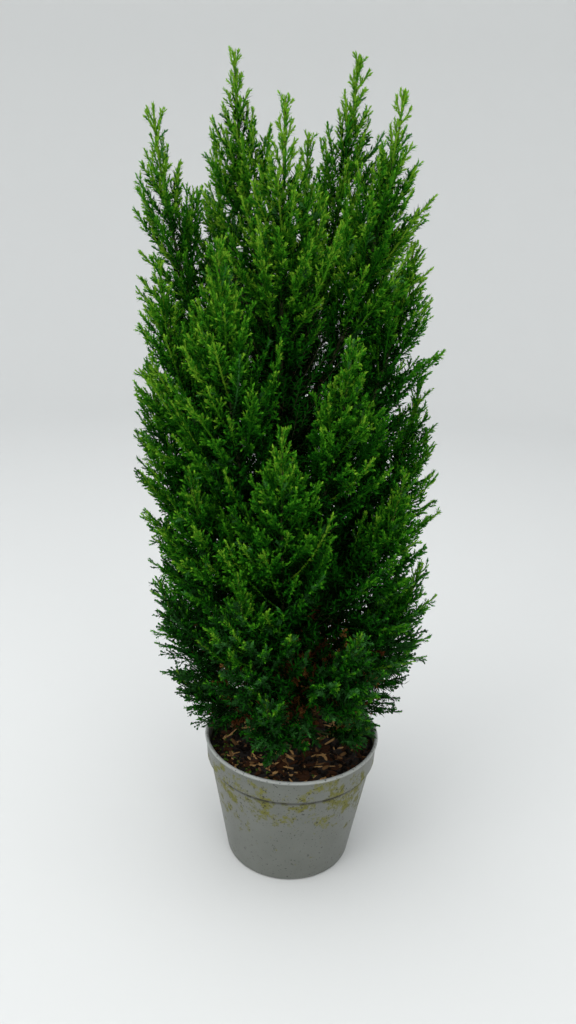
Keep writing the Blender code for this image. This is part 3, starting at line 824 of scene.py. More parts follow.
@dataclass
class Plume:
    """A leading shoot: its line from the trunk to its tip, and the space round it.

    The line is a cubic curve that leaves the trunk outwards and bends up to its tip.
    """

    name: str
    tier: Tier
    root_height: float
    tip: Place
    half_width: float
    bough: bool
    index: int
    line: np.ndarray = field(init=False)
    widths: np.ndarray = field(init=False)
    bare: float = field(init=False)

    def __post_init__(self) -> None:
        """Works out the line and the half-width of the space at each of its points."""
        axis, _ = trunk_axis()
        on_top = self.root_height >= axis[-1, 2] - 1e-4
        x, y = (np.interp(self.root_height, axis[:, 2], axis[:, i]) for i in (0, 1))
        root, tip = np.array([x, y, self.root_height]), np.array(self.tip)
        across, rise = (tip - root) * (1.0 - UP), (tip - root) * UP
        leave = root + LEAVE[0] * across + LEAVE[1] * rise
        arrive = tip - ARRIVE[0] * across - ARRIVE[1] * rise
        t = np.linspace(0.0, 1.0, ARCH_STEPS)[:, None]
        s = 1.0 - t
        curve = s**3 * root + 3 * s**2 * t * leave + 3 * s * t**2 * arrive + t**3 * tip
        self.line = even_line(curve, LINE_POINTS)
        self.bare = TOP_SHARE if on_top else BOUGH_SHARE if self.bough else STEM_SHARE
        foliage = (self.shares - self.bare) / (1.0 - self.bare)
        swell = np.interp(foliage, *zip(*SWELL)) * self.half_width
        self.widths = np.where(foliage < 0.0, BARE_WIDTH, swell)

    @property
    def shares(self) -> np.ndarray:
        """The share of the line at each of its points."""
        return np.linspace(0.0, 1.0, LINE_POINTS)

    @property
    def length(self) -> float:
        """The line's length."""
        return float(np.linalg.norm(np.diff(self.line, axis=0), axis=1).sum())

    @property
    def leafy(self) -> float:
        """The length of its part with foliage."""
        return self.length * (1.0 - self.bare)

    def foliage(self, share: np.ndarray) -> np.ndarray:
        """Turns shares of the foliage into shares of the whole line."""
        return self.bare + share * (1.0 - self.bare)

    def at(self, share: np.ndarray) -> np.ndarray:
        """Reads the points on the line at those shares of its length."""
        return read_line(self.line, self.shares, share)

    def width(self, share: np.ndarray) -> np.ndarray:
        """Reads the half-width of the space at those shares."""
        return np.interp(share, self.shares, self.widths)

    def frames(self, share: np.ndarray) -> Triple:
        """Works out the directions at those shares of the line.

        Args:
            share: Shares of the line's length, (n,).

        Returns:
            The heading, the direction away from the crown's middle, and the one sideways.
        """
        ahead, behind = np.minimum(share + HEADING_STEP, 1.0), np.maximum(share - HEADING_STEP, 0.0)
        heading = unit(self.at(ahead) - self.at(behind))
        point = self.at(share)
        middle = np.column_stack([crown_at(point[:, 2])[1], np.zeros(len(point)), point[:, 2]])
        away = square_to(point - middle, heading)
        return heading, away, np.cross(heading, away)


def all_plumes() -> list[Plume]:
    """Lists every plume, the top ones first and then tier by tier.

    Returns:
        The plumes.
    """
    made: list[Plume] = []
    for name, (tip, root_height, half_width) in SPIRES.items():
        bough = name != "leader"
        made.append(Plume(name, Tier.SPIRE, root_height, tip, half_width, bough, len(made)))
    for rule in TIERS:
        rng = np.random.default_rng(SEED + rule.count + int(1000 * rule.tip_height))
        for i in range(rule.count):
            wander = rng.uniform(-1, 1) * AZIMUTH_WANDER
            azimuth = math.radians(rule.first_azimuth + 360.0 * i / rule.count + wander)
            stagger = (-1) ** i * HEIGHT_STAGGER + rng.uniform(-HEIGHT_WANDER, HEIGHT_WANDER)
            height = rule.tip_height + rule.differ * stagger
            radius, middle = crown_at(height)
            across = rule.reach * radius
            x, y = middle + across * math.cos(azimuth), across * CROWN_DEPTH * math.sin(azimuth)
            root = rule.lowest_root + rule.climb * ((ROOT_STRIDE * i) % rule.count) / (rule.count - 1)
            name, tip = f"{rule.tier.value}_{i + 1}", (x, y, height)
            made.append(Plume(name, rule.tier, root, tip, rule.half_width, rule.bough, len(made)))
    return made


# Twigs and needles


@dataclass
class Twigs:
    """Many twigs at once: each is (1 - t)^2 root + 2 t (1 - t) knee + t^2 tip, for t from 0 to 1."""

    root: np.ndarray
    knee: np.ndarray
    tip: np.ndarray
    side: np.ndarray
    tint: np.ndarray
    vigour: np.ndarray

    @staticmethod
    def bent(root: np.ndarray, ahead: np.ndarray, length: np.ndarray, pull: np.ndarray) -> Pair:
        """Bends twigs halfway: knee = root + half length x ahead, and then on towards ahead + pull.

        Args:
            root: Where they start, (n, 3).
            ahead: Their first directions, (n, 3).
            length: Their lengths, (n, 1).
            pull: What bends them, (n, 3) or (3,).

        Returns:
            Their knees and their tips.
        """
        knee = root + 0.5 * length * ahead
        return knee, knee + 0.5 * length * unit(ahead + pull)

    @staticmethod
    def joined(parts: Iterable["Twigs"]) -> "Twigs":
        """Puts several lots of twigs together."""
        rows = [[getattr(part, name) for name in Twigs.__dataclass_fields__] for part in parts]
        return Twigs(*(np.concatenate(column) for column in zip(*rows)))

    def __len__(self) -> int:
        """Counts the twigs."""
        return len(self.root)

    def taken(self, which: np.ndarray) -> "Twigs":
        """Picks some of the twigs, by number or by a mask."""
        return Twigs(*(getattr(self, name)[which] for name in self.__dataclass_fields__))

    def ends(self, share: np.ndarray) -> Iterable[np.ndarray]:
        """Lists roots, knees and tips, with a second axis where several shares are read."""
        return (end[:, None, :] if share.ndim == 2 else end for end in (self.root, self.knee, self.tip))

    def at(self, share: np.ndarray) -> np.ndarray:
        """Reads the point at one share of each twig, (n,), or at several, (n, k)."""
        t = share[..., None]
        root, knee, tip = self.ends(share)
        return (1 - t) ** 2 * root + 2 * t * (1 - t) * knee + t**2 * tip

    def frames(self, share: np.ndarray) -> tuple[np.ndarray, np.ndarray, np.ndarray, np.ndarray]:
        """Reads one place on each twig, and its directions there.

        Args:
            share: The share of each twig's length, (n,).

        Returns:
            The points, the headings, the directions across in the spray, and those out of it.
        """
        t = share[..., None]
        root, knee, tip = self.ends(share)
        heading = unit((1 - t) * (knee - root) + t * (tip - knee))
        side = square_to(self.side, heading)
        return self.at(share), heading, side, np.cross(heading, side)

    def lengths(self) -> np.ndarray:
        """Measures the twigs, halfway between their chords and their corners."""
        corners = np.linalg.norm(self.knee - self.root, axis=1)
        corners = corners + np.linalg.norm(self.tip - self.knee, axis=1)
        return 0.5 * (corners + np.linalg.norm(self.tip - self.root, axis=1))

    def shortened(self, share: np.ndarray) -> "Twigs":
        """Shrinks each twig towards its root by that share."""
        knee, tip = (self.root + (end - self.root) * share[:, None] for end in (self.knee, self.tip))
        return replace(self, knee=knee, tip=tip)


@dataclass(frozen=True)
class Habit:
    """How the side twigs of one order leave the axis that carries them.

    Lengths are least + share of what is left of the axis, up to most. Leans are in degrees, from
    the axis's foot to its tip, spread is how far in radians they leave the flat of the spray.
    """

    spacing: float
    span: Range
    lean: Range
    least: float
    most: float
    share: float
    rise: float
    spread: float
    wander: float
    step_range: Range = (0.15, 0.85)
    length_range: Range = (0.75, 1.15)


@dataclass(frozen=True)
class NeedleHabit:
    """How the needles of one order of axis stand: their size, how many, and their lean.

    Every needle whose number divides by loose is an awl that spreads. The others clasp the axis
    closely and make it a blunt green rod. A needle is widest at its belly, a share of its length.
    Needles crowd towards the axis's tip, more so the smaller crowding is. The awls are shorter by
    foot_size and tip_size at the axis's two ends, and they close up past lean_until.
    """

    length: float
    spacing: float
    lean: Range
    start: float = 0.0
    width: float = 0.58 * MM
    fold: float = 0.25
    belly: float = 0.36
    crowding: float = 0.76
    foot_size: float = 0.85
    tip_size: float = 0.62
    full_size: Range = (0.25, 0.75)
    lean_until: float = 0.80
    lean_kept: float = 0.94
    loose: int = 3
    clasp_lean: Range = (29.0, 18.0)
    clasp_size: float = 0.80
    clasp_width: float = 2.15
    clasp_belly: float = 0.62
    step_range: Range = (0.2, 1.0)
    size_range: Range = (0.78, 1.15)
    turn_wander: float = 0.25
    lean_wander: float = 6.0


STEM_NEEDLES = NeedleHabit(5.2 * MM, 0.34 * MM, (50.0, 22.0))
SHOOT_NEEDLES = NeedleHabit(4.4 * MM, 0.60 * MM, (52.0, 26.0), 0.05)
BRANCHLET_NEEDLES = NeedleHabit(4.0 * MM, 0.49 * MM, (52.0, 28.0), 0.04)
FINGER_NEEDLES = NeedleHabit(3.6 * MM, 0.46 * MM, (52.0, 28.0))
OLD_SPRAYS = NeedleHabit(
    length=6.6 * MM,
    spacing=1.12 * MM,
    lean=(58.0, 38.0),
    width=1.45 * MM,
    belly=0.42,
    crowding=1.0,
    tip_size=1.0,
    loose=1,
)
# Tip needles a green younger, foot needles a green older: age, with painted light and shade
YOUNGER_LIT_ABOVE = 0.66
OLDER_SHADED_BELOW = 0.30
AGE_AND_LIGHT_SHARE = 0.85


@dataclass(frozen=True)
class Growth:
    """How one part of the crown grows: its shoots, its side twigs and how its needles stand.

    A share of the shoots lead: they stand steeply and reach far up the plume. Overlaps say how far
    neighbouring plumes grow into one another.
    """

    shoot_spacing: float
    branchlets: Habit
    fingers: Habit
    needle_size: float
    needle_lean: float
    shoot_open: float = 2.0
    shoot_rise: float = 0.90
    shoot_thinning: float = 1.0
    shoot_to_tip: float = 0.54
    finger_from: float = 6.5 * MM
    tip_slim: float = 18.0 * MM
    shoot_overlap: float = 9.0 * MM
    side_overlap: float = 12.0 * MM
    tip_light: float = 0.90
    old_share: float = 0.74
    old_within: float = 0.92
    old_below: float = 0.84
    shaded_spacing: float = 2.10
    shaded_width: float = 1.70
    leading_share: float = 0.26
    leading_span: Range = (0.02, 0.56)
    leading_lean: float = 34.0
    leading_rise: float = 2.2
    leading_reach: float = 0.80


SPIRE_GROWTH = Growth(
    shoot_spacing=3.3 * MM,
    branchlets=Habit(3.6 * MM, (0.16, 0.94), (38.0, 26.0), 3.8 * MM, 13.0 * MM, 0.20, 0.55, 0.9, 6.0),
    fingers=Habit(3.2 * MM, (0.26, 0.84), (40.0, 30.0), 2.8 * MM, 5.0 * MM, 0.30, 0.35, 0.8, 8.0),
    needle_size=1.10,
    needle_lean=0.98,
    shoot_thinning=1.22,
    shoot_to_tip=0.56,
    tip_slim=34.0 * MM,
    shoot_overlap=15.0 * MM,
    side_overlap=20.0 * MM,
    tip_light=1.0,
    old_within=1.0,
    leading_share=0.14,
    leading_span=(0.02, 0.42),
    leading_reach=0.66,
)
BODY_GROWTH = Growth(
    shoot_spacing=3.2 * MM,
    branchlets=Habit(4.2 * MM, (0.20, 0.95), (42.0, 26.0), 5.0 * MM, 16.0 * MM, 0.20, 0.65, 0.7, 6.0),
    fingers=Habit(3.2 * MM, (0.22, 0.88), (46.0, 34.0), 3.0 * MM, 5.5 * MM, 0.26, 0.40, 0.55, 8.0),
    needle_size=0.96,
    needle_lean=0.94,
)
WAIST_GROWTH = replace(BODY_GROWTH, shoot_spacing=2.7 * MM, shoot_overlap=26.0 * MM, side_overlap=30.0 * MM)
SKIRT_GROWTH = replace(WAIST_GROWTH, shoot_spacing=2.4 * MM, needle_size=0.92)


@dataclass(frozen=True)
class Daylight:
    """How a spray's colour follows from where its tip stands.

    Each pair is a start and a span. Light is a share of the open sky, more of it further up, and
    its steps part the greens. The low sprays have a bluish bloom, the low inner ones are dead.
    """

    outer: Range = (0.50, 0.48)
    upper: Range = (0.30, 0.60)
    high: Range = (0.37, 0.14)
    high_share: float = 0.74
    sky_share: float = 0.80
    height_share: float = 0.80
    middle_height: float = 0.42
    scatter: float = 0.09
    steps: tuple[float, ...] = (0.30, 0.48, 0.72, 0.93)
    greens: tuple[Tint, ...] = (Tint.INNER, Tint.DEEP, Tint.LEAF, Tint.FRESH, Tint.NEW)
    bloom: Range = (0.30, -0.16)
    bloom_share: Range = (0.03, 0.74)
    blue_above: float = 0.62
    dry: Range = (0.27, -0.12)
    dry_inner: Range = (0.74, -0.25)
    dead_share: float = 0.85
    rust_share: float = 0.7

    def tint(
        self,
        tips: np.ndarray,
        away: np.ndarray,
        climbed: np.ndarray,
        extra: np.ndarray,
        rng: np.random.Generator,
    ) -> np.ndarray:
        """Deals each spray its colour.

        Args:
            tips: The sprays' tips, (n, 3).
            away: How far out in the crown they are, as a share of its radius.
            climbed: How much of the open sky their height in the plume gives them, at most 1.
            extra: How much brighter than the others each spray is.
            rng: The plume's random numbers.

        Returns:
            The tint of each spray.
        """
        count, height = len(tips), tips[:, 2]
        high = self.high_share * covered(height, *self.high)
        open_sky = np.maximum(np.maximum(covered(away, *self.outer), high), climbed)
        light = self.sky_share * open_sky + self.height_share * (height - self.middle_height) + extra
        light = light + rng.normal(0.0, self.scatter, count)
        dealt = np.array(self.greens)[np.searchsorted(self.steps, light)]
        bluish = rng.random(count) < np.clip(covered(height, *self.bloom), *self.bloom_share)
        # The bloom in a lit and a shaded copy: painted light and shade
        low = np.where(light > self.blue_above, Tint.BLUE, Tint.SLATE)
        dealt = np.where(bluish & (light > self.steps[0]), low, dealt)
        dry = covered(height, *self.dry) * covered(away, *self.dry_inner)
        dead = rng.random(count) < self.dead_share * dry
        brown = np.where(rng.random(count) < self.rust_share, Tint.RUST, Tint.STRAW)
        return np.where(dead, brown, dealt)


@dataclass
class Crown:
    """The whole crown: its plumes, and which space is whose."""

    pot_rim: float
    pot_height: float
    soil_top: float
    foot_clear: float = 34.0 * MM
    foot_fade: float = 22.0 * MM
    tried_from: float = 0.25
    tried_places: int = 7
    plumes: list[Plume] = field(init=False)
    trunk: np.ndarray = field(init=False)
    trunk_radii: np.ndarray = field(init=False)
    near: dict[str, list[Plume]] = field(init=False)

    def __post_init__(self) -> None:
        """Lists the plumes and what each one borders on."""
        self.plumes = all_plumes()
        self.trunk, self.trunk_radii = trunk_axis()
        self.near = {plume.name: self._neighbours(plume) for plume in self.plumes}

    def _neighbours(self, plume: Plume) -> list[Plume]:
        """Lists the plumes whose lines come close enough to share a border with this one."""
        near = []
        for other in self.plumes:
            apart = np.linalg.norm(plume.line[:, None] - other.line[None], axis=2).min()
            if other is not plume and apart < NEAR * (plume.half_width + other.half_width):
                near.append(other)
        return near

    def room(self, points: np.ndarray, plume: Plume, overlap: float) -> np.ndarray:
        """Measures how far points lie inside a plume's own space.

        Args:
            points: The points, (n, 3).
            plume: The plume.
            overlap: How far plumes may reach into one another.

        Returns:
            Metres to the nearest border, below 0 outside.
        """
        own, own_width = nearest(points, plume.line, plume.widths)
        room = np.full(len(points), np.inf)
        for other in self.near[plume.name]:
            share, width = nearest(points, other.line, other.widths)
            room = np.minimum(room, (share - own) / (1.0 / own_width + 1.0 / width))
        gap, radius = nearest(points, self.trunk, self.trunk_radii)
        room = np.minimum(room + overlap, (gap - 1.0) * radius)
        away, radius = from_middle(points)
        across = np.hypot(points[:, 0], points[:, 1])
        bare_foot = self.foot_clear * covered(across, self.pot_rim, -self.foot_fade)
        over_pot = points[:, 2] - np.maximum(self.soil_top + bare_foot, self.pot_height)
        return np.minimum(room, np.minimum(radius - away, over_pot))

    def kept_inside(self, twigs: Twigs, plume: Plume, least: float, margin: float, overlap: float) -> Twigs:
        """Shortens twigs to where they leave the plume's space, and drops the shortest.

        Args:
            twigs: The twigs.
            plume: The plume that carries them.
            least: The shortest twig that is kept.
            margin: How far inside its space a twig stays.
            overlap: How far plumes may reach into one another.

        Returns:
            The twigs that are left.
        """
        stops = np.linspace(self.tried_from, 1.0, self.tried_places)
        grid = np.broadcast_to(stops, (len(twigs), len(stops)))
        room = self.room(twigs.at(grid).reshape(-1, 3), plume, overlap).reshape(grid.shape)
        clear = np.minimum.accumulate(room >= margin, axis=1)
        twigs = twigs.shortened(np.where(clear, grid, 0.0).max(1))
        return twigs.taken(twigs.lengths() >= least)


def numbered(counts: np.ndarray) -> Pair:
    """Numbers what owners carry, where each carries its own count.

    Args:
        counts: How many each owner carries.

    Returns:
        The owner of each thing, and the thing's number with that owner, from 0.
    """
    owner = np.repeat(np.arange(len(counts)), counts)
    return owner, np.arange(len(owner)) - np.repeat(np.cumsum(counts) - counts, counts)


@dataclass(frozen=True)
class Grower:
    """Grows a plume's twigs, order by order, from its stem to the finest ones."""

    crown: Crown
    plume: Plume
    growth: Growth
    daylight: Daylight = Daylight()
    stem_from: float = 0.22
    stem_marks: int = 17
    fresh_runs: int = 4
    new_runs: int = 2
    tip_needles: float = 4.0 * MM
    shoot_span: Range = (-0.10, 0.97)
    shoot_steps: Range = (0.1, 0.9)
    shoot_wander: float = 7.0
    shoot_least: float = 10.0 * MM
    least_range: Range = (1.0, 1.6)
    shoot_stub: float = 4.5 * MM
    shoot_margin: float = 3.0 * MM
    below_tip: float = 0.80
    tip_fullness: float = 1.25
    strong_share: float = 0.32
    strong_vigour: Range = (0.95, 1.18)
    weak_vigour: Range = (0.50, 0.88)
    leading_vigour: float = 1.15
    leading_range: Range = (0.68, 1.0)
    spray_roll: float = 0.5
    plain_vigour: float = 0.80
    vigour_light: float = 0.26

    def place(self, points: np.ndarray) -> Pair:
        """Measures where points stand in the crown and in the plume.

        Args:
            points: The points, (n, 3).

        Returns:
            How far out in the crown, and how far up the plume, both as shares.
        """
        away, radius = from_middle(points)
        to_tip = np.linalg.norm(points - self.plume.line[-1], axis=1)
        return away / radius, 1.0 - to_tip / self.plume.length

    def tint(self, tips: np.ndarray, vigour: np.ndarray, rng: np.random.Generator) -> np.ndarray:
        """Deals each spray its colour, by how far out and how high its tip stands.

        Args:
            tips: The sprays' tips, (n, 3).
            vigour: How much brighter than the others each spray is.
            rng: The plume's random numbers.

        Returns:
            The tint of each spray.
        """
        away, climbed = self.place(tips)
        climbed = self.growth.tip_light * covered(climbed, *self.daylight.upper)
        return self.daylight.tint(tips, away, climbed, vigour, rng)

    def shaded_runs(self, shoots: Twigs) -> Twigs:
        """Picks the inner ends of shoots that lie deep in the crown, where old growth is kept.

        Args:
            shoots: The plume's shoots.

        Returns:
            The inner parts of those shoots, with the near-black of old growth, partly painted shade.
        """
        inner = shoots.shortened(np.full(len(shoots), self.growth.old_share))
        away, climbed = self.place(inner.tip)
        deep = inner.taken((away < self.growth.old_within) & (climbed < self.growth.old_below))
        return replace(deep, tint=np.full(len(deep), Tint.INNER))

    def stem_runs(self) -> Twigs:
        """Cuts the stem's leafy part into short runs, so that it can carry needles itself.

        Returns:
            The runs, as twigs that meet end to end.
        """
        last = 1.0 - self.tip_needles / self.plume.leafy
        share = self.plume.foliage(np.linspace(self.stem_from, last, self.stem_marks))
        points = self.plume.at(share)
        root, middle, tip = points[0:-2:2], points[1:-1:2], points[2::2]
        knee = 2.0 * middle - 0.5 * (root + tip)
        _, away, _ = self.plume.frames(share[0:-2:2])
        tint = np.full(len(root), Tint.LEAF)
        tint[-self.fresh_runs :] = Tint.FRESH
        tint[-self.new_runs :] = Tint.NEW
        return Twigs(root, knee, tip, away, tint, np.zeros(len(root)))

    def shoots(self, rng: np.random.Generator) -> Twigs:
        """Sets the first shoots round the stem by the golden angle, as the solids' sprays are.

        Args:
            rng: The plume's random numbers.

        Returns:
            The shoots.
        """
        plume, growth, leafy = self.plume, self.growth, self.plume.leafy
        count = round(leafy * (self.shoot_span[1] - self.shoot_span[0]) / growth.shoot_spacing)
        order = np.arange(count)
        step = (order + rng.uniform(*self.shoot_steps, count)) / count
        u = np.interp(step**growth.shoot_thinning, (0, 1), self.shoot_span)
        share = plume.foliage(u)
        heading, away, across = plume.frames(share)
        turn = (rng.uniform(0.0, math.tau) + order * GOLDEN_ANGLE)[:, None]
        out = swing(away, across, turn)
        first, last = growth.leading_span
        leading = (rng.random(count) < growth.leading_share) & (u > first) & (u < last)
        lean = np.interp(u, (0, 1), SPRAY_LEAN) + growth.shoot_open
        lean = np.where(leading, growth.leading_lean, lean)
        lean = np.radians(lean + rng.normal(0.0, self.shoot_wander, count))
        rise = np.where(leading, growth.leading_rise, growth.shoot_rise)
        late = np.arctan2(np.sin(lean), np.cos(lean) + rise)
        sweep = 0.5 * (np.sin(lean) + np.sin(late))
        strong = rng.random(count) < self.strong_share
        drawn = (rng.uniform(*limits, count) for limits in (self.strong_vigour, self.weak_vigour))
        vigour = np.where(strong, *drawn)
        length = SPRAY_REACH * plume.width(share) / sweep * vigour
        left = (1.0 - u) * leafy
        slim = self.tip_fullness * left / (left + growth.tip_slim)
        length = np.minimum(length, left * slim * growth.shoot_to_tip)
        tall = left * growth.leading_reach * rng.uniform(*self.leading_range, count)
        length = np.where(leading, tall, length)
        vigour = np.where(leading, self.leading_vigour, vigour)
        length = np.maximum(length, self.shoot_least * rng.uniform(*self.least_range, count))
        length = np.minimum(length, left * self.below_tip)[:, None]
        direction = swing(heading, out, lean[:, None])
        root = plume.at(share)
        knee, tip = Twigs.bent(root, direction, length, rise[:, None] * heading)
        rolled = np.cross(heading, out) + self.spray_roll * rng.normal(size=(count, 3))
        light = self.vigour_light * (vigour - self.plain_vigour)
        made = Twigs(root, knee, tip, square_to(rolled, direction), np.zeros(count, int), light)
        made = self.crown.kept_inside(made, plume, self.shoot_stub, self.shoot_margin, growth.shoot_overlap)
        made.tint = self.tint(made.tip, made.vigour, rng)
        return made

    def side_twigs(self, parents: Twigs, habit: Habit, rng: np.random.Generator) -> Twigs:
        """Sets side twigs along axes, left and right by turns, about their own flat spray.

        Args:
            parents: The axes.
            habit: How the side twigs stand.
            rng: The plume's random numbers.

        Returns:
            The side twigs, with their parents' tints.
        """
        lengths = parents.lengths()
        span = habit.span[1] - habit.span[0]
        counts = np.maximum(np.round(lengths * span / habit.spacing), 0).astype(int)
        owner, order = numbered(counts)
        count = len(owner)
        along = (order + rng.uniform(*habit.step_range, count)) / np.maximum(counts[owner], 1)
        share = habit.span[0] + span * along
        axis = parents.taken(owner)
        root, heading, side, face = axis.frames(share)
        turn = (np.where(order % 2, math.pi, 0.0) + rng.normal(0.0, habit.spread, count))[:, None]
        out = swing(side, face, turn)
        lean = np.interp(along, (0, 1), habit.lean) + rng.normal(0.0, habit.wander, count)
        left = (1.0 - share) * lengths[owner] * habit.share
        length = np.clip(left + habit.least, habit.least, habit.most)
        length = (length * rng.uniform(*habit.length_range, count))[:, None]
        direction = swing(heading, out, np.radians(lean)[:, None])
        knee, tip = Twigs.bent(root, direction, length, habit.rise * heading)
        plane = square_to(np.cross(np.cross(heading, out), direction), direction)
        return Twigs(root, knee, tip, plane, axis.tint, axis.vigour)


def needles(axes: Twigs, habit: NeedleHabit, rng: np.random.Generator) -> TintedMesh:
    """Sets needles round axes: each is a folded kite of two triangles, root, left, tip, right.

    Needle i stands at turn i times the golden angle, and leans from the axis's heading by an angle
    that closes towards the axis's tip.

    Args:
        axes: The twigs that carry them.
        habit: Their size, spacing and lean.
        rng: The plume's random numbers.

    Returns:
        Vertices, triangles and the tint of each triangle.
    """
    counts = np.round(axes.lengths() * (1.0 - habit.start) / habit.spacing)
    counts = np.maximum(counts, 2).astype(int)
    owner, order = numbered(counts)
    count = len(owner)
    along = ((order + rng.uniform(*habit.step_range, count)) / counts[owner]) ** habit.crowding
    axis = axes.taken(owner)
    root, heading, side, face = axis.frames(habit.start + (1.0 - habit.start) * along)
    turn = order * GOLDEN_ANGLE + rng.normal(0.0, habit.turn_wander, count)
    out = swing(side, face, turn[:, None])
    spreads = order % habit.loose == 0
    closing = (habit.lean[0], habit.lean_kept * habit.lean[0], habit.lean[1])
    spread_lean = np.interp(along, (0, habit.lean_until, 1), closing)
    lean = np.where(spreads, spread_lean, np.interp(along, (0, 1), habit.clasp_lean))
    lean = np.radians(lean + rng.normal(0.0, habit.lean_wander, count))[:, None]
    shrinking = np.interp(along, (0, *habit.full_size, 1), (habit.foot_size, 1.0, 1.0, habit.tip_size))
    size = habit.length * np.where(spreads, shrinking, habit.clasp_size)
    size = (size * rng.uniform(*habit.size_range, count))[:, None]
    width = (habit.width * np.where(spreads, 1.0, habit.clasp_width))[:, None]
    belly = np.where(spreads, habit.belly, habit.clasp_belly)[:, None]
    direction = swing(heading, out, lean)
    across = np.cross(heading, out)
    lift = np.cross(direction, across) * habit.fold * width
    middle = root + belly * size * direction + lift
    half = 0.5 * width * across
    tint = shifted_by_age_and_light(axis.tint, along, rng)
    points = np.stack([root, middle - half, root + size * direction, middle + half], axis=1)
    triangles = repeated(np.array([[0, 1, 2], [0, 2, 3]]), 4, count)
    return points.reshape(-1, 3), triangles, np.repeat(tint, 2)


def shifted_by_age_and_light(tint: np.ndarray, along: np.ndarray, rng: np.random.Generator) -> np.ndarray:
    """Makes the green needles near a twig's tip one step younger, and those at its foot older.

    The steps are painted light at the tip and painted shade at the foot, as well as age.

    Args:
        tint: Each needle's tint.
        along: How far up its twig each needle stands, from 0 to 1.
        rng: The plume's random numbers.

    Returns:
        The tints that the needles get.
    """
    shift = np.where(along > YOUNGER_LIT_ABOVE, -1, 0) + np.where(along < OLDER_SHADED_BELOW, 1, 0)
    moved = np.clip(tint + shift, Tint.NEW, Tint.INNER)
    return np.where((tint <= Tint.INNER) & (rng.random(len(tint)) < AGE_AND_LIGHT_SHARE), moved, tint)


def fine_spikes(twigs: Twigs, thick: float, stops: int) -> TintedMesh:
    """Wraps twigs in a skin that tapers to a point.

    Args:
        twigs: The twigs.
        thick: The radius at the root.
        stops: How many points their lines get.

    Returns:
        Vertices, triangles and the tint of each triangle.
    """
    share = np.broadcast_to(np.linspace(0.0, 1.0, stops), (len(twigs), stops))
    radii = thick * np.linspace(1.0, TWIG_END, stops)[:-1]
    points, triangles = spikes(twigs.at(share), radii, twigs.side)
    return points, triangles, np.repeat(twigs.tint, len(triangles) // max(len(twigs), 1))


def tinted_piece(
    name: str, parts: Sequence[TintedMesh], slot: str, smooth: bool = True
) -> bpy.types.Object:
    """Joins needles or twigs of one kind into one piece, each face in its spray's colour.

    Args:
        name: The piece's name.
        parts: Vertices, triangles and tints of each lot.
        slot: The record's material slot, which is not used.
        smooth: Whether the shading is smooth.

    Returns:
        The piece.
    """
    points, triangles = stacked([part[:2] for part in parts])
    used, picks = np.unique(np.concatenate([part[2] for part in parts]), return_inverse=True)
    return make_piece(name, points, triangles, [SKINS[Tint(i)] for i in used], slot, picks, smooth)


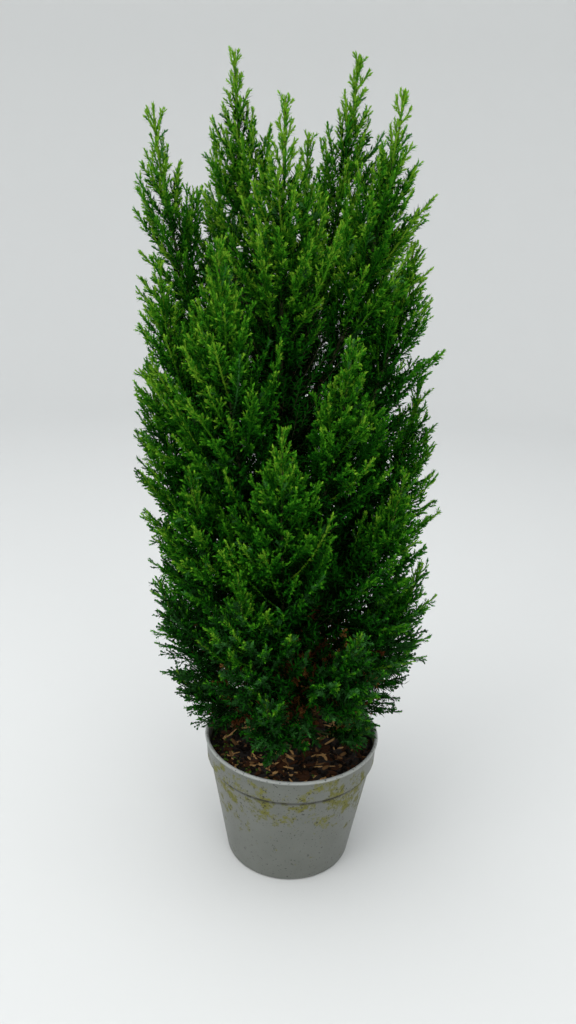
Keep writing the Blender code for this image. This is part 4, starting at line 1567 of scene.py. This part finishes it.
@dataclass
class Foliage:
    """The foliage of a few neighbouring plumes, grown, meshed and joined by kind."""

    crown: Crown
    plumes: list[Plume]
    tag: str
    slot: str
    growth: Growth
    branchlet_least: float = 3.5 * MM
    branchlet_margin: float = 1.5 * MM
    curved_from: float = 11.0 * MM
    own_tint_share: float = 0.5
    shoot_thick: float = 0.85 * MM
    curved_thick: float = 0.70 * MM
    straight_thick: float = 0.62 * MM
    shoot_stops: int = 5
    curved_stops: int = 3
    straight_stops: int = 2

    def build(self) -> list[bpy.types.Object]:
        """Grows the plumes and makes their needle and twig pieces.

        Returns:
            The pieces.
        """
        leaf_parts, shoot_parts, twig_parts = [], [], []
        for plume in self.plumes:
            rng = np.random.default_rng(SEED + plume.index)
            grower = Grower(self.crown, plume, self.growth)
            stem, shoots = grower.stem_runs(), grower.shoots(rng)
            branchlets, fingers, old = self._side_growth(grower, shoots, rng)
            orders = (
                (stem, STEM_NEEDLES),
                (shoots, SHOOT_NEEDLES),
                (branchlets, BRANCHLET_NEEDLES),
                (fingers, FINGER_NEEDLES),
            )
            for twigs, habit in orders:
                leaf_parts += self._green_needles(twigs, habit, rng)
            inner = Twigs.joined([grower.shaded_runs(shoots), old])
            leaf_parts.append(needles(inner, OLD_SPRAYS, rng))
            shoot_parts.append(fine_spikes(shoots, self.shoot_thick, self.shoot_stops))
            curved = branchlets.lengths() > self.curved_from
            bent = branchlets.taken(curved)
            twig_parts.append(fine_spikes(bent, self.curved_thick, self.curved_stops))
            straight = Twigs.joined([branchlets.taken(~curved), old, fingers])
            twig_parts.append(fine_spikes(straight, self.straight_thick, self.straight_stops))
        needle_piece = tinted_piece(f"needles_{self.tag}", leaf_parts, self.slot, smooth=False)
        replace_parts(needle_piece, *(f"foliage_{plume.name}" for plume in self.plumes))
        shoot_piece = tinted_piece(f"shoots_{self.tag}", shoot_parts, "bark")
        return [needle_piece, shoot_piece, tinted_piece(f"branchlets_{self.tag}", twig_parts, "bark")]

    def _side_growth(
        self, grower: Grower, shoots: Twigs, rng: np.random.Generator
    ) -> tuple[Twigs, Twigs, Twigs]:
        """Grows the branchlets on a plume's shoots, and the fingers on the longer branchlets.

        Args:
            grower: What grows the plume.
            shoots: The plume's shoots.
            rng: The plume's random numbers.

        Returns:
            The living branchlets, their fingers, and the old branchlets.
        """
        branchlets = grower.side_twigs(shoots, self.growth.branchlets, rng)
        limits = (self.branchlet_least, self.branchlet_margin, self.growth.side_overlap)
        branchlets = self.crown.kept_inside(branchlets, grower.plume, *limits)
        branchlets.tint = grower.tint(branchlets.tip, branchlets.vigour, rng)
        inner = branchlets.tint == Tint.INNER
        old, branchlets = branchlets.taken(inner), branchlets.taken(~inner)
        long_ones = branchlets.taken(branchlets.lengths() > self.growth.finger_from)
        fingers = grower.side_twigs(long_ones, self.growth.fingers, rng)
        dealt = grower.tint(fingers.tip, fingers.vigour, rng)
        own = rng.random(len(fingers)) < self.own_tint_share
        fingers.tint = np.where(own, dealt, fingers.tint)
        return branchlets, fingers, old

    def _green_needles(
        self, twigs: Twigs, habit: NeedleHabit, rng: np.random.Generator
    ) -> list[TintedMesh]:
        """Sets the needles of one order of twigs, fewer and broader ones on the shaded twigs.

        Args:
            twigs: The twigs.
            habit: How that order's needles stand.
            rng: The plume's random numbers.

        Returns:
            The needles of the twigs in the light, and those of the shaded twigs.
        """
        growth = self.growth
        lean = (habit.lean[0] * growth.needle_lean, habit.lean[1])
        sized = replace(habit, length=habit.length * growth.needle_size, lean=lean)
        spacing, width = sized.spacing * growth.shaded_spacing, sized.width * growth.shaded_width
        sparse = replace(sized, spacing=spacing, width=width)
        shaded = np.isin(twigs.tint, SHADED)
        return [needles(twigs.taken(~shaded), sized, rng), needles(twigs.taken(shaded), sparse, rng)]


@dataclass
class OldGrowth:
    """The dark old twigs in the crown, partly painted shade, set round the trunk by the golden angle."""

    crown: Crown
    seed: int = SEED + 90
    spacing: float = 0.38 * MM
    lowest: float = 0.130
    highest: float = 0.468
    crowding: float = 1.20
    lean: float = 54.0
    lean_wander: float = 8.0
    rise: float = 0.5
    length: Range = (30.0 * MM, 84.0 * MM)
    rust_below: float = 0.165
    rust_fade: float = 0.05
    most_rust: float = 0.8
    thick: float = 0.75 * MM
    stops: int = 4

    def build(self) -> list[bpy.types.Object]:
        """Grows the old twigs and the sprays on them.

        Returns:
            The pieces.
        """
        rng = np.random.default_rng(self.seed)
        span = self.highest - self.lowest
        count = round(span / self.spacing)
        height = self.lowest + span * np.linspace(0, 1, count) ** self.crowding
        root = read_line(self.crown.trunk, self.crown.trunk[:, 2], height)
        turn = np.arange(count) * GOLDEN_ANGLE
        out = np.stack([np.cos(turn), np.sin(turn), np.zeros(count)], 1)
        lean = np.radians(self.lean + rng.normal(0.0, self.lean_wander, count))[:, None]
        direction = swing(UP, out, lean)
        length = rng.uniform(*self.length, count)[:, None]
        knee, tip = Twigs.bent(root, direction, length, self.rise * UP)
        rusty = np.clip((self.rust_below - height) / self.rust_fade + 0.5, 0.0, self.most_rust)
        tint = np.where(rng.random(count) < rusty, Tint.RUST, Tint.INNER)
        twigs = Twigs(root, knee, tip, square_to(out, direction), tint, np.zeros(count))
        sprays = [needles(twigs, OLD_SPRAYS, rng)]
        wood = fine_spikes(twigs, self.thick, self.stops)[:2]
        return [
            tinted_piece("old_sprays", sprays, "foliage_body", smooth=False),
            make_piece("old_twigs", *wood, [BROWN_STEM], "bark"),
        ]


# Trunk and boughs


@dataclass
class Wood:
    """Trunk, boughs and the stems of the plumes, with the relief of their bark."""

    crown: Crown
    trunk_rings: int = 260
    trunk_sides: int = 64
    flare_lobes: int = 5
    flare_depth: float = 0.0022
    flare_height: float = 0.012
    flare_turn: float = 0.6
    fissure_depth: float = 0.45 * MM
    strips: int = 9
    fine_strips: int = 17
    plates: int = 5
    strip_drift: float = 12.0 * MM
    slow_drift: float = 22.0 * MM
    plate_length: float = 6.0 * MM
    drawn_out: float = 0.35
    strip_waver: float = 2.6
    fine_waver: float = 3.4
    plate_waver: float = 3.0
    fine_share: float = 0.6
    plate_share: float = 0.7
    limb_relief: float = 0.07
    limb_rings: int = 32
    limb_sides: int = 9
    bough_radii: Range = (3.1 * MM, 1.7 * MM)
    stem_radii: Range = (1.7 * MM, 0.45 * MM)
    stem_stop: float = 4.0 * MM

    def relief(self, places: np.ndarray, turn: np.ndarray) -> np.ndarray:
        """Bark relief: strips that run up the limb, as waves across it whose phase wanders slowly.

        Args:
            places: Points of the limb's middle line, (k, 3).
            turn: The turns round it, (sides,).

        Returns:
            How far the bark stands out at each point and turn, from -1 to 1, (k, sides).
        """
        drift = waves(places * (1.0, 1.0, self.drawn_out), self.strip_drift, SEED)[:, None]
        slow = waves(places, self.slow_drift, SEED + 1)[:, None]
        broad = np.sin(self.strips * turn + self.strip_waver * drift)
        fine = self.fine_share * np.sin(self.fine_strips * turn - self.fine_waver * slow)
        patches = waves(places, self.plate_length, SEED + 2)[:, None]
        plates = self.plate_share * patches * np.sin(self.plates * turn + self.plate_waver * slow)
        return (broad + fine + plates) / (1.0 + self.fine_share + self.plate_share)

    def trunk(self) -> bpy.types.Object:
        """Builds the trunk: radius + root lobes + bark relief, round its leaning line.

        Returns:
            The piece that replaces the trunk.
        """
        axis, radii = self.crown.trunk, self.crown.trunk_radii
        heights = np.linspace(axis[0, 2], axis[-1, 2], self.trunk_rings)
        line = read_line(axis, axis[:, 2], heights)
        radius = np.interp(heights, axis[:, 2], radii)[:, None]
        turn = whole_turn(self.trunk_sides)[None, :]
        fade = (1.0 - covered(heights, heights[0], self.flare_height))[:, None] ** 2
        lobes = fade * self.flare_depth * np.cos(self.flare_lobes * turn + self.flare_turn)
        depth = self.fissure_depth * radius / radii[2]
        skin = radius + lobes + depth * self.relief(line, turn)
        points, triangles = tubes(line[None], skin[None], self.trunk_sides, np.array([[1.0, 0.0, 0.0]]))
        piece = make_piece("trunk_bark", points, triangles, [BARK], "bark")
        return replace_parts(piece, "trunk")

    def limb(self, plume: Plume, shares: Range, radii: Range) -> Mesh:
        """Wraps part of a plume's line in bark.

        Args:
            plume: The plume.
            shares: Where on its line the limb starts and ends.
            radii: The limb's radius there.

        Returns:
            Vertices and triangles.
        """
        line = plume.at(np.linspace(*shares, self.limb_rings))
        radius = np.linspace(*radii, self.limb_rings)[:, None]
        skin = radius * (1.0 + self.limb_relief * self.relief(line, whole_turn(self.limb_sides)[None, :]))
        return tubes(line[None], skin[None], self.limb_sides, np.array([[0.3, 1.0, 0.2]]))

    def boughs(self) -> bpy.types.Object:
        """Builds the boughs, each from inside the trunk to where its plume starts.

        Returns:
            The piece that replaces them.
        """
        carried = [plume for plume in self.crown.plumes if plume.bough]
        parts = [self.limb(plume, (0.0, BOUGH_SHARE), self.bough_radii) for plume in carried]
        piece = make_piece("bough_bark", *stacked(parts), [BARK], "bark")
        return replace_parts(piece, *(f"bough_{plume.name}" for plume in carried))

    def stems(self) -> bpy.types.Object:
        """Builds the stems that run up through the plumes.

        Returns:
            The piece.
        """
        parts = []
        for plume in self.crown.plumes:
            start = BOUGH_SHARE if plume.bough else 0.0
            parts.append(self.limb(plume, (start, 1.0 - self.stem_stop / plume.length), self.stem_radii))
        return make_piece("plume_stems", *stacked(parts), [BROWN_STEM], "bark")


# Pot and soil


@dataclass
class Pot:
    """The nursery pot: a thin wall turned round the Z axis, with drain holes in its floor."""

    height: float
    rim_radius: float
    foot_radius: float = 0.054
    wall: float = 1.6 * MM
    floor: float = 2.0 * MM
    lip_height: float = 3.0 * MM
    lip_overhang: float = 1.3 * MM
    lip_arc: Range = (165.0, -75.0)
    lip_points: int = 13
    band_height: float = 17.5 * MM
    band_draft: float = 0.8 * MM
    step_depth: float = 2.4 * MM
    step_height: float = 1.2 * MM
    foot_chamfer: float = 1.5 * MM
    drain_count: int = 6
    drain_radius: float = 4.5 * MM
    drain_circle: float = 0.040
    drain_sides: int = 32
    steps: int = 192
    sharp_angle: float = 50.0
    # Its base grey is set darker than the bare plastic: painted shade for the crown's shadow on the pot
    finish: MouldedPlastic = MouldedPlastic("pot_grey_polypropylene_weathered", "#6e716b", 0.42)

    @property
    def inside(self) -> float:
        """The wall's inner radius under the lip."""
        return self.rim_radius - self.lip_overhang - self.wall

    def side(self, inset: float, floor: float) -> list[Place]:
        """Lists the corners of the wall from the lip down.

        Args:
            inset: How far the wall is moved in.
            floor: The height of its lowest corner.

        Returns:
            Radius, height and rounding of each corner.
        """
        band_top = self.rim_radius - self.lip_overhang
        band_foot = band_top - self.band_draft
        body_top = band_foot - self.step_depth
        step_top = self.height - self.lip_height - self.band_height
        body_drop = step_top - self.step_height
        foot = self.foot_radius + (body_top - self.foot_radius) * floor / body_drop
        return [
            (band_top - inset, self.height - self.lip_height, 0.3 * MM),
            (band_foot - inset, step_top, 0.7 * MM),
            (body_top - inset, body_drop, 0.5 * MM),
            (foot - inset, floor, 0.6 * MM),
        ]

    def profile(self) -> np.ndarray:
        """Runs from the floor's middle up inside, over the rolled lip, and down outside.

        Returns:
            Points of radius and height.
        """
        bead = 0.5 * self.lip_height
        turn = np.radians(np.linspace(*self.lip_arc, self.lip_points))
        radius = self.rim_radius - bead + bead * np.cos(turn)
        lip = np.column_stack([radius, self.height - bead + bead * np.sin(turn), np.zeros(len(turn))])
        inner = self.side(self.wall, self.floor)[::-1]
        outer = self.side(0.0, self.foot_chamfer)
        under = [(self.foot_radius - self.foot_chamfer, 0.0, 0.4 * MM), (0.0, 0.0, 0.0)]
        return rounded([(0.0, self.floor, 0.0), *inner, *lip, *outer, *under])

    def build(self) -> bpy.types.Object:
        """Turns the wall and cuts the drain holes.

        Returns:
            The piece that replaces the pot.
        """
        points, triangles = turned(self.profile(), self.steps)
        pot = make_piece("pot_shell", points, triangles, [self.finish], "pot_plastic")
        cutter = put_object("drain_holes", self._holes())
        cut = pot.modifiers.new("Drain holes", "BOOLEAN")
        cut.operation = "DIFFERENCE"
        cut.object = cutter
        cut.solver = "EXACT"
        graph = bpy.context.evaluated_depsgraph_get()
        shell = bpy.data.meshes.new_from_object(pot.evaluated_get(graph))
        pot.modifiers.clear()
        pot.data = shell
        shell.name = "pot_shell"
        shell.set_sharp_from_angle(angle=math.radians(self.sharp_angle))
        bpy.data.objects.remove(cutter, do_unlink=True)
        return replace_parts(pot, "pot")

    def _holes(self) -> bpy.types.Mesh:
        """Sets upright rods in a circle, through the floor.

        Returns:
            The mesh that cuts the drain holes.
        """
        turn = math.tau * (np.arange(self.drain_count) + 0.5) / self.drain_count
        x, y = self.drain_circle * np.cos(turn), self.drain_circle * np.sin(turn)
        ends = [np.column_stack([x, y, np.full(len(x), z)]) for z in (-self.floor, 2.0 * self.floor)]
        radii = np.full((self.drain_count, 2), self.drain_radius)
        hints = np.tile((1.0, 0.0, 0.0), (self.drain_count, 1))
        return put_mesh("drain_holes", *tubes(np.stack(ends, 1), radii, self.drain_sides, hints))


class Bit(Enum):
    """What lies in the potting mix, by kind."""

    SPLINTER = SplitWood("mix_split_pine", "#b08a58", 0.80)
    WEATHERED = SplitWood("mix_weathered_chip", "#6f5232", 0.85)
    BARK = SplitWood("mix_pine_bark", "#38200f", 0.85)
    LUMP = SplitWood("mix_peat_lump", "#150f0a", 0.95)
    NEEDLE = SplitWood("mix_fallen_needle", "#5a3a20", 0.85)
    GREENED = SplitWood("mix_crumb_greened_by_algae", "#4a6a1e", 0.90)


@dataclass(frozen=True)
class BitRule:
    """How many bits of one kind there are, and the least and most of their three sizes in mm."""

    bit: Bit
    count: int
    length: Range
    width: Range
    height: Range
    tilt: float


@dataclass
class Soil:
    """The potting mix: a bumpy top, turned sides that follow the pot, and loose bits on it."""

    pot: Pot
    top: float
    seed: int = SEED + 20
    gap: float = 0.3 * MM
    flat_radius: float = 0.016
    flat_fade: float = 0.02
    bump: float = 3.0 * MM
    heaps: Range = (0.65, 24.0 * MM)
    clods: Range = (0.30, 9.0 * MM)
    crumbs: Range = (0.16, 3.5 * MM)
    edge_drop: float = 1.2 * MM
    edge_from: float = 0.90
    edge_width: float = 0.06
    rings: int = 90
    steps: int = 240
    finish: PeatMix = PeatMix("mix_moist_peat", "#0d0906", 0.92)
    rules: tuple[BitRule, ...] = (
        BitRule(Bit.SPLINTER, 85, (6.0, 19.0), (1.2, 3.4), (0.8, 1.8), 16.0),
        BitRule(Bit.WEATHERED, 90, (5.0, 15.0), (1.6, 4.5), (1.0, 2.2), 20.0),
        BitRule(Bit.BARK, 150, (4.0, 12.0), (3.0, 7.0), (1.5, 3.5), 24.0),
        BitRule(Bit.LUMP, 420, (2.0, 7.0), (2.0, 5.5), (1.6, 4.0), 40.0),
        BitRule(Bit.NEEDLE, 420, (3.0, 6.0), (0.6, 0.9), (0.3, 0.5), 18.0),
        BitRule(Bit.GREENED, 110, (1.4, 3.4), (1.2, 2.6), (0.9, 2.0), 30.0),
    )
    greened_azimuth: float = -130.0
    greened_spread: float = 0.55
    greened_from: float = 0.72
    bit_sides: int = 5
    bit_stops: tuple[float, ...] = (-0.5, -0.22, 0.20, 0.5)
    bit_taper: tuple[float, ...] = (0.45, 1.0, 0.95, 0.40)
    bit_ragged: Range = (0.72, 1.15)
    bit_lift: float = 0.30

    def height_at(self, x: np.ndarray, y: np.ndarray) -> np.ndarray:
        """The top's height: its level + waves of three sizes, level under the trunk, low at the edge.

        Args:
            x: Places across.
            y: Places away.

        Returns:
            The height there.
        """
        away, rim = np.hypot(x, y), self.pot.rim_radius
        places = np.stack([x, y, np.zeros_like(x)], -1)
        rise = covered(away, self.flat_radius, self.flat_fade)
        heaps, clods, fine = (
            share * waves(places, size, SEED + number)
            for number, (share, size) in enumerate((self.heaps, self.clods, self.crumbs), 7)
        )
        edge = covered(away, self.edge_from * rim, self.edge_width * rim)
        return self.top + self.bump * (rise * (heaps + clods) + fine) - self.edge_drop * edge

    def build(self) -> list[bpy.types.Object]:
        """Makes the body of the mix and the loose bits.

        Returns:
            The pieces.
        """
        return [self._body(), self._bits()]

    def _body(self) -> bpy.types.Object:
        """Turns the mix's profile and lifts its top into bumps.

        Returns:
            The piece that replaces the soil.
        """
        _, band, body, foot = self.pot.side(self.pot.wall + self.gap, self.pot.floor + self.gap)
        across = np.linspace(0.0, band[0], self.rings)
        level = np.column_stack([across, np.full(self.rings, self.top)])
        side = np.array([band[:2], body[:2], foot[:2], (0.0, foot[1])])
        points, triangles = turned(np.concatenate([level, side]), self.steps)
        lifted = points[:, 2] >= self.top - 1e-6
        points[lifted, 2] = self.height_at(points[lifted, 0], points[lifted, 1])
        piece = make_piece("potting_mix_body", points, triangles, [self.finish], "potting_mix")
        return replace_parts(piece, "soil")

    def _bits(self) -> bpy.types.Object:
        """Strews the loose bits, one kind after the other.

        Returns:
            The piece.
        """
        rng = np.random.default_rng(self.seed)
        parts = [self._strewn(rule, rng) for rule in self.rules]
        picks = np.concatenate([np.full(len(part[1]), number) for number, part in enumerate(parts)])
        finishes = [rule.bit.value for rule in self.rules]
        return make_piece(
            "potting_mix_bits", *stacked(parts), finishes, "potting_mix", picks, smooth=False
        )

    def _strewn(self, rule: BitRule, rng: np.random.Generator) -> Mesh:
        """Strews one kind of bit over the top, each a lumpy spindle of four rings of five points.

        Args:
            rule: The kind, its number and its sizes.
            rng: The soil's random numbers.

        Returns:
            Vertices and triangles.
        """
        count, sizes = rule.count, (rule.length, rule.width, rule.height)
        length, width, height = (rng.uniform(*limits, count) * MM for limits in sizes)
        reach = self.pot.inside - 0.5 * length - MM
        away = reach * np.sqrt(rng.uniform(0.02, 1.0, count))
        azimuth = rng.uniform(0.0, math.tau, count)
        if rule.bit is Bit.GREENED:
            azimuth = rng.normal(math.radians(self.greened_azimuth), self.greened_spread, count)
            away = reach * rng.uniform(self.greened_from, 1.0, count)
        x, y = away * np.cos(azimuth), away * np.sin(azimuth)
        yaw = rng.uniform(0.0, math.tau, count)
        tilt = np.radians(rng.normal(0.0, 0.5, count) * rule.tilt)
        heading = np.stack([np.cos(yaw) * np.cos(tilt), np.sin(yaw) * np.cos(tilt), np.sin(tilt)], 1)
        middle = np.stack([x, y, self.height_at(x, y) + self.bit_lift * height], 1)
        stops = length[:, None] * np.array(self.bit_stops)
        lines = middle[:, None, :] + heading[:, None, :] * stops[..., None]
        first = square_to(np.cross(heading, UP), heading)
        second = np.cross(heading, first)
        turn = whole_turn(self.bit_sides)
        rings = len(self.bit_stops)
        ragged = rng.uniform(*self.bit_ragged, (count, rings, self.bit_sides))
        ragged = np.array(self.bit_taper)[None, :, None] * ragged
        wide = (0.5 * width[:, None, None] * ragged * np.cos(turn))[..., None] * first[:, None, None]
        tall = (0.5 * height[:, None, None] * ragged * np.sin(turn))[..., None] * second[:, None, None]
        skin = (lines[:, :, None, :] + wide + tall).reshape(count, -1, 3)
        points = np.concatenate([skin, lines[:, (0, -1), :]], axis=1)
        faces = closed_rings(rings, self.bit_sides)
        return points.reshape(-1, 3), repeated(faces, points.shape[1], count)


# Ground, light and camera


@dataclass(frozen=True)
class Lamp:
    """A square soft lamp: where it hangs, its side in metres and its power in watts."""

    name: str
    place: Place
    size: float
    power: float


@dataclass
class Studio:
    """A plain pale ground, soft light, and the camera where the photo was taken."""

    floor_radius: float = 1.7
    cove_radius: float = 1.1
    cove_points: int = 24
    wall_height: float = 2.6
    floor_steps: int = 128
    ground: PaintedBoard = PaintedBoard("studio_pale_board", "#cfd0cf", 0.80)
    sky_colour: str = "#e4e7ea"
    sky_strength: float = 1.25
    lamps: tuple[Lamp, ...] = (
        Lamp("overhead", (-0.2, -0.5, 2.3), 1.8, 30.0),
        Lamp("front_left", (-1.1, -1.7, 1.5), 1.2, 13.0),
        Lamp("front_right", (1.3, -1.5, 1.2), 1.0, 7.0),
    )
    camera_place: Place = (0.141, -0.634, 0.547)
    camera_pitch: float = -13.3
    camera_roll: float = 5.8
    sensor_height: float = 36.0
    photo_lens: float = 24.6
    closer: float = 1.24
    aim: Place = (-0.010, 0.0, 0.315)

    def build(self) -> None:
        """Makes the ground, the lights, the sky and the camera."""
        bpy.context.scene.view_settings.view_transform = "Standard"
        self._floor()
        self._sky()
        for lamp in self.lamps:
            self._hang(lamp)
        self._camera()

    def _floor(self) -> None:
        """Turns the floor's profile: flat, then a quarter circle up into a plain round wall."""
        rise = np.linspace(0.0, 0.5 * math.pi, self.cove_points)
        bend_r = self.floor_radius + self.cove_radius * np.sin(rise)
        bend_z = self.cove_radius * (1.0 - np.cos(rise))
        radius = np.concatenate([[0.0], bend_r, [bend_r[-1], 0.0]])
        height = np.concatenate([[0.0], bend_z, [self.wall_height, self.wall_height]])
        points, triangles = turned(np.column_stack([radius, height]), self.floor_steps)
        open_top = ~(triangles == len(points) - 1).any(1)
        mesh = put_mesh("pale_floor", points, triangles[open_top])
        mesh.polygons.foreach_set("use_smooth", np.full(int(open_top.sum()), True))
        mesh.materials.append(self.ground.material())
        put_object("pale_floor", mesh)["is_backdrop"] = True

    def _sky(self) -> None:
        """Lights the scene evenly from a plain pale sky."""
        world = bpy.data.worlds.new("soft_sky")
        bpy.context.scene.world = world
        world.use_nodes = True
        light = world.node_tree.nodes["Background"]
        light.inputs["Color"].default_value = linear(self.sky_colour)
        light.inputs["Strength"].default_value = self.sky_strength

    def _hang(self, lamp: Lamp) -> None:
        """Hangs a lamp that looks at the plant.

        Args:
            lamp: The lamp.
        """
        data = bpy.data.lights.new(lamp.name, "AREA")
        data.size = lamp.size
        data.energy = lamp.power
        hung = put_object(lamp.name, data)
        hung.location = lamp.place
        hung.rotation_euler = (Vector(self.aim) - Vector(lamp.place)).to_track_quat("-Z", "Y").to_euler()

    def _camera(self) -> None:
        """Stands the camera where the photo's was, turned the shortest way to face the plant."""
        pitch, roll = math.radians(self.camera_pitch), math.radians(self.camera_roll)
        ahead = Vector((0.0, math.cos(pitch), math.sin(pitch)))
        right = Vector((1.0, 0.0, 0.0))
        up = right.cross(ahead)
        rolled_right = right * math.cos(roll) + up * math.sin(roll)
        rolled_up = up * math.cos(roll) - right * math.sin(roll)
        facing = Matrix((rolled_right, rolled_up, -ahead)).transposed()
        place = Vector(self.camera_place)
        turn = ahead.rotation_difference(Vector(self.aim) - place).to_matrix()
        data = bpy.data.cameras.new("photo_view")
        data.sensor_fit = "VERTICAL"
        data.sensor_height = self.sensor_height
        data.lens = self.photo_lens * self.closer
        data.clip_start = 0.01
        camera = put_object("photo_view", data)
        camera.matrix_world = Matrix.Translation(place) @ (turn @ facing).to_4x4()
        bpy.context.scene.camera = camera


# The whole plant


SLOTS = {Tier.SPIRE: "foliage_top", Tier.SKIRT: "foliage_skirt"}
GROWTHS = {Tier.SPIRE: SPIRE_GROWTH, Tier.WAIST: WAIST_GROWTH, Tier.SKIRT: SKIRT_GROWTH}
PLUMES_TOGETHER = 4


def corners(box: tuple[Vector, Vector]) -> list[list[float]]:
    """Writes a box's two corners as plain lists of numbers."""
    return [[float(value) for value in corner] for corner in box]


def main() -> None:
    logging.basicConfig(level=logging.INFO, format="%(name)s: %(message)s")
    solid_box = corners(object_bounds())
    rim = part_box("pot")[1]
    soil_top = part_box("trunk")[0].z
    Studio().build()
    pot = Pot(height=rim.z, rim_radius=rim.x)
    pot.build()
    Soil(pot, soil_top).build()
    crown = Crown(pot.rim_radius, pot.height, soil_top)
    wood = Wood(crown)
    wood.trunk()
    wood.boughs()
    wood.stems()
    OldGrowth(crown).build()
    for tier in Tier:
        members = [plume for plume in crown.plumes if plume.tier is tier]
        slot, growth = SLOTS.get(tier, "foliage_body"), GROWTHS.get(tier, BODY_GROWTH)
        for number, start in enumerate(range(0, len(members), PLUMES_TOGETHER), 1):
            group = members[start : start + PLUMES_TOGETHER]
            Foliage(crown, group, f"{tier.value}_{number}", slot, growth).build()
    json.dumps({"cad": solid_box, "visual": corners(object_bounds())})
    log.info("CAD box %s, visual box %s", solid_box, corners(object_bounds()))


if __name__ == "__main__":
    main()
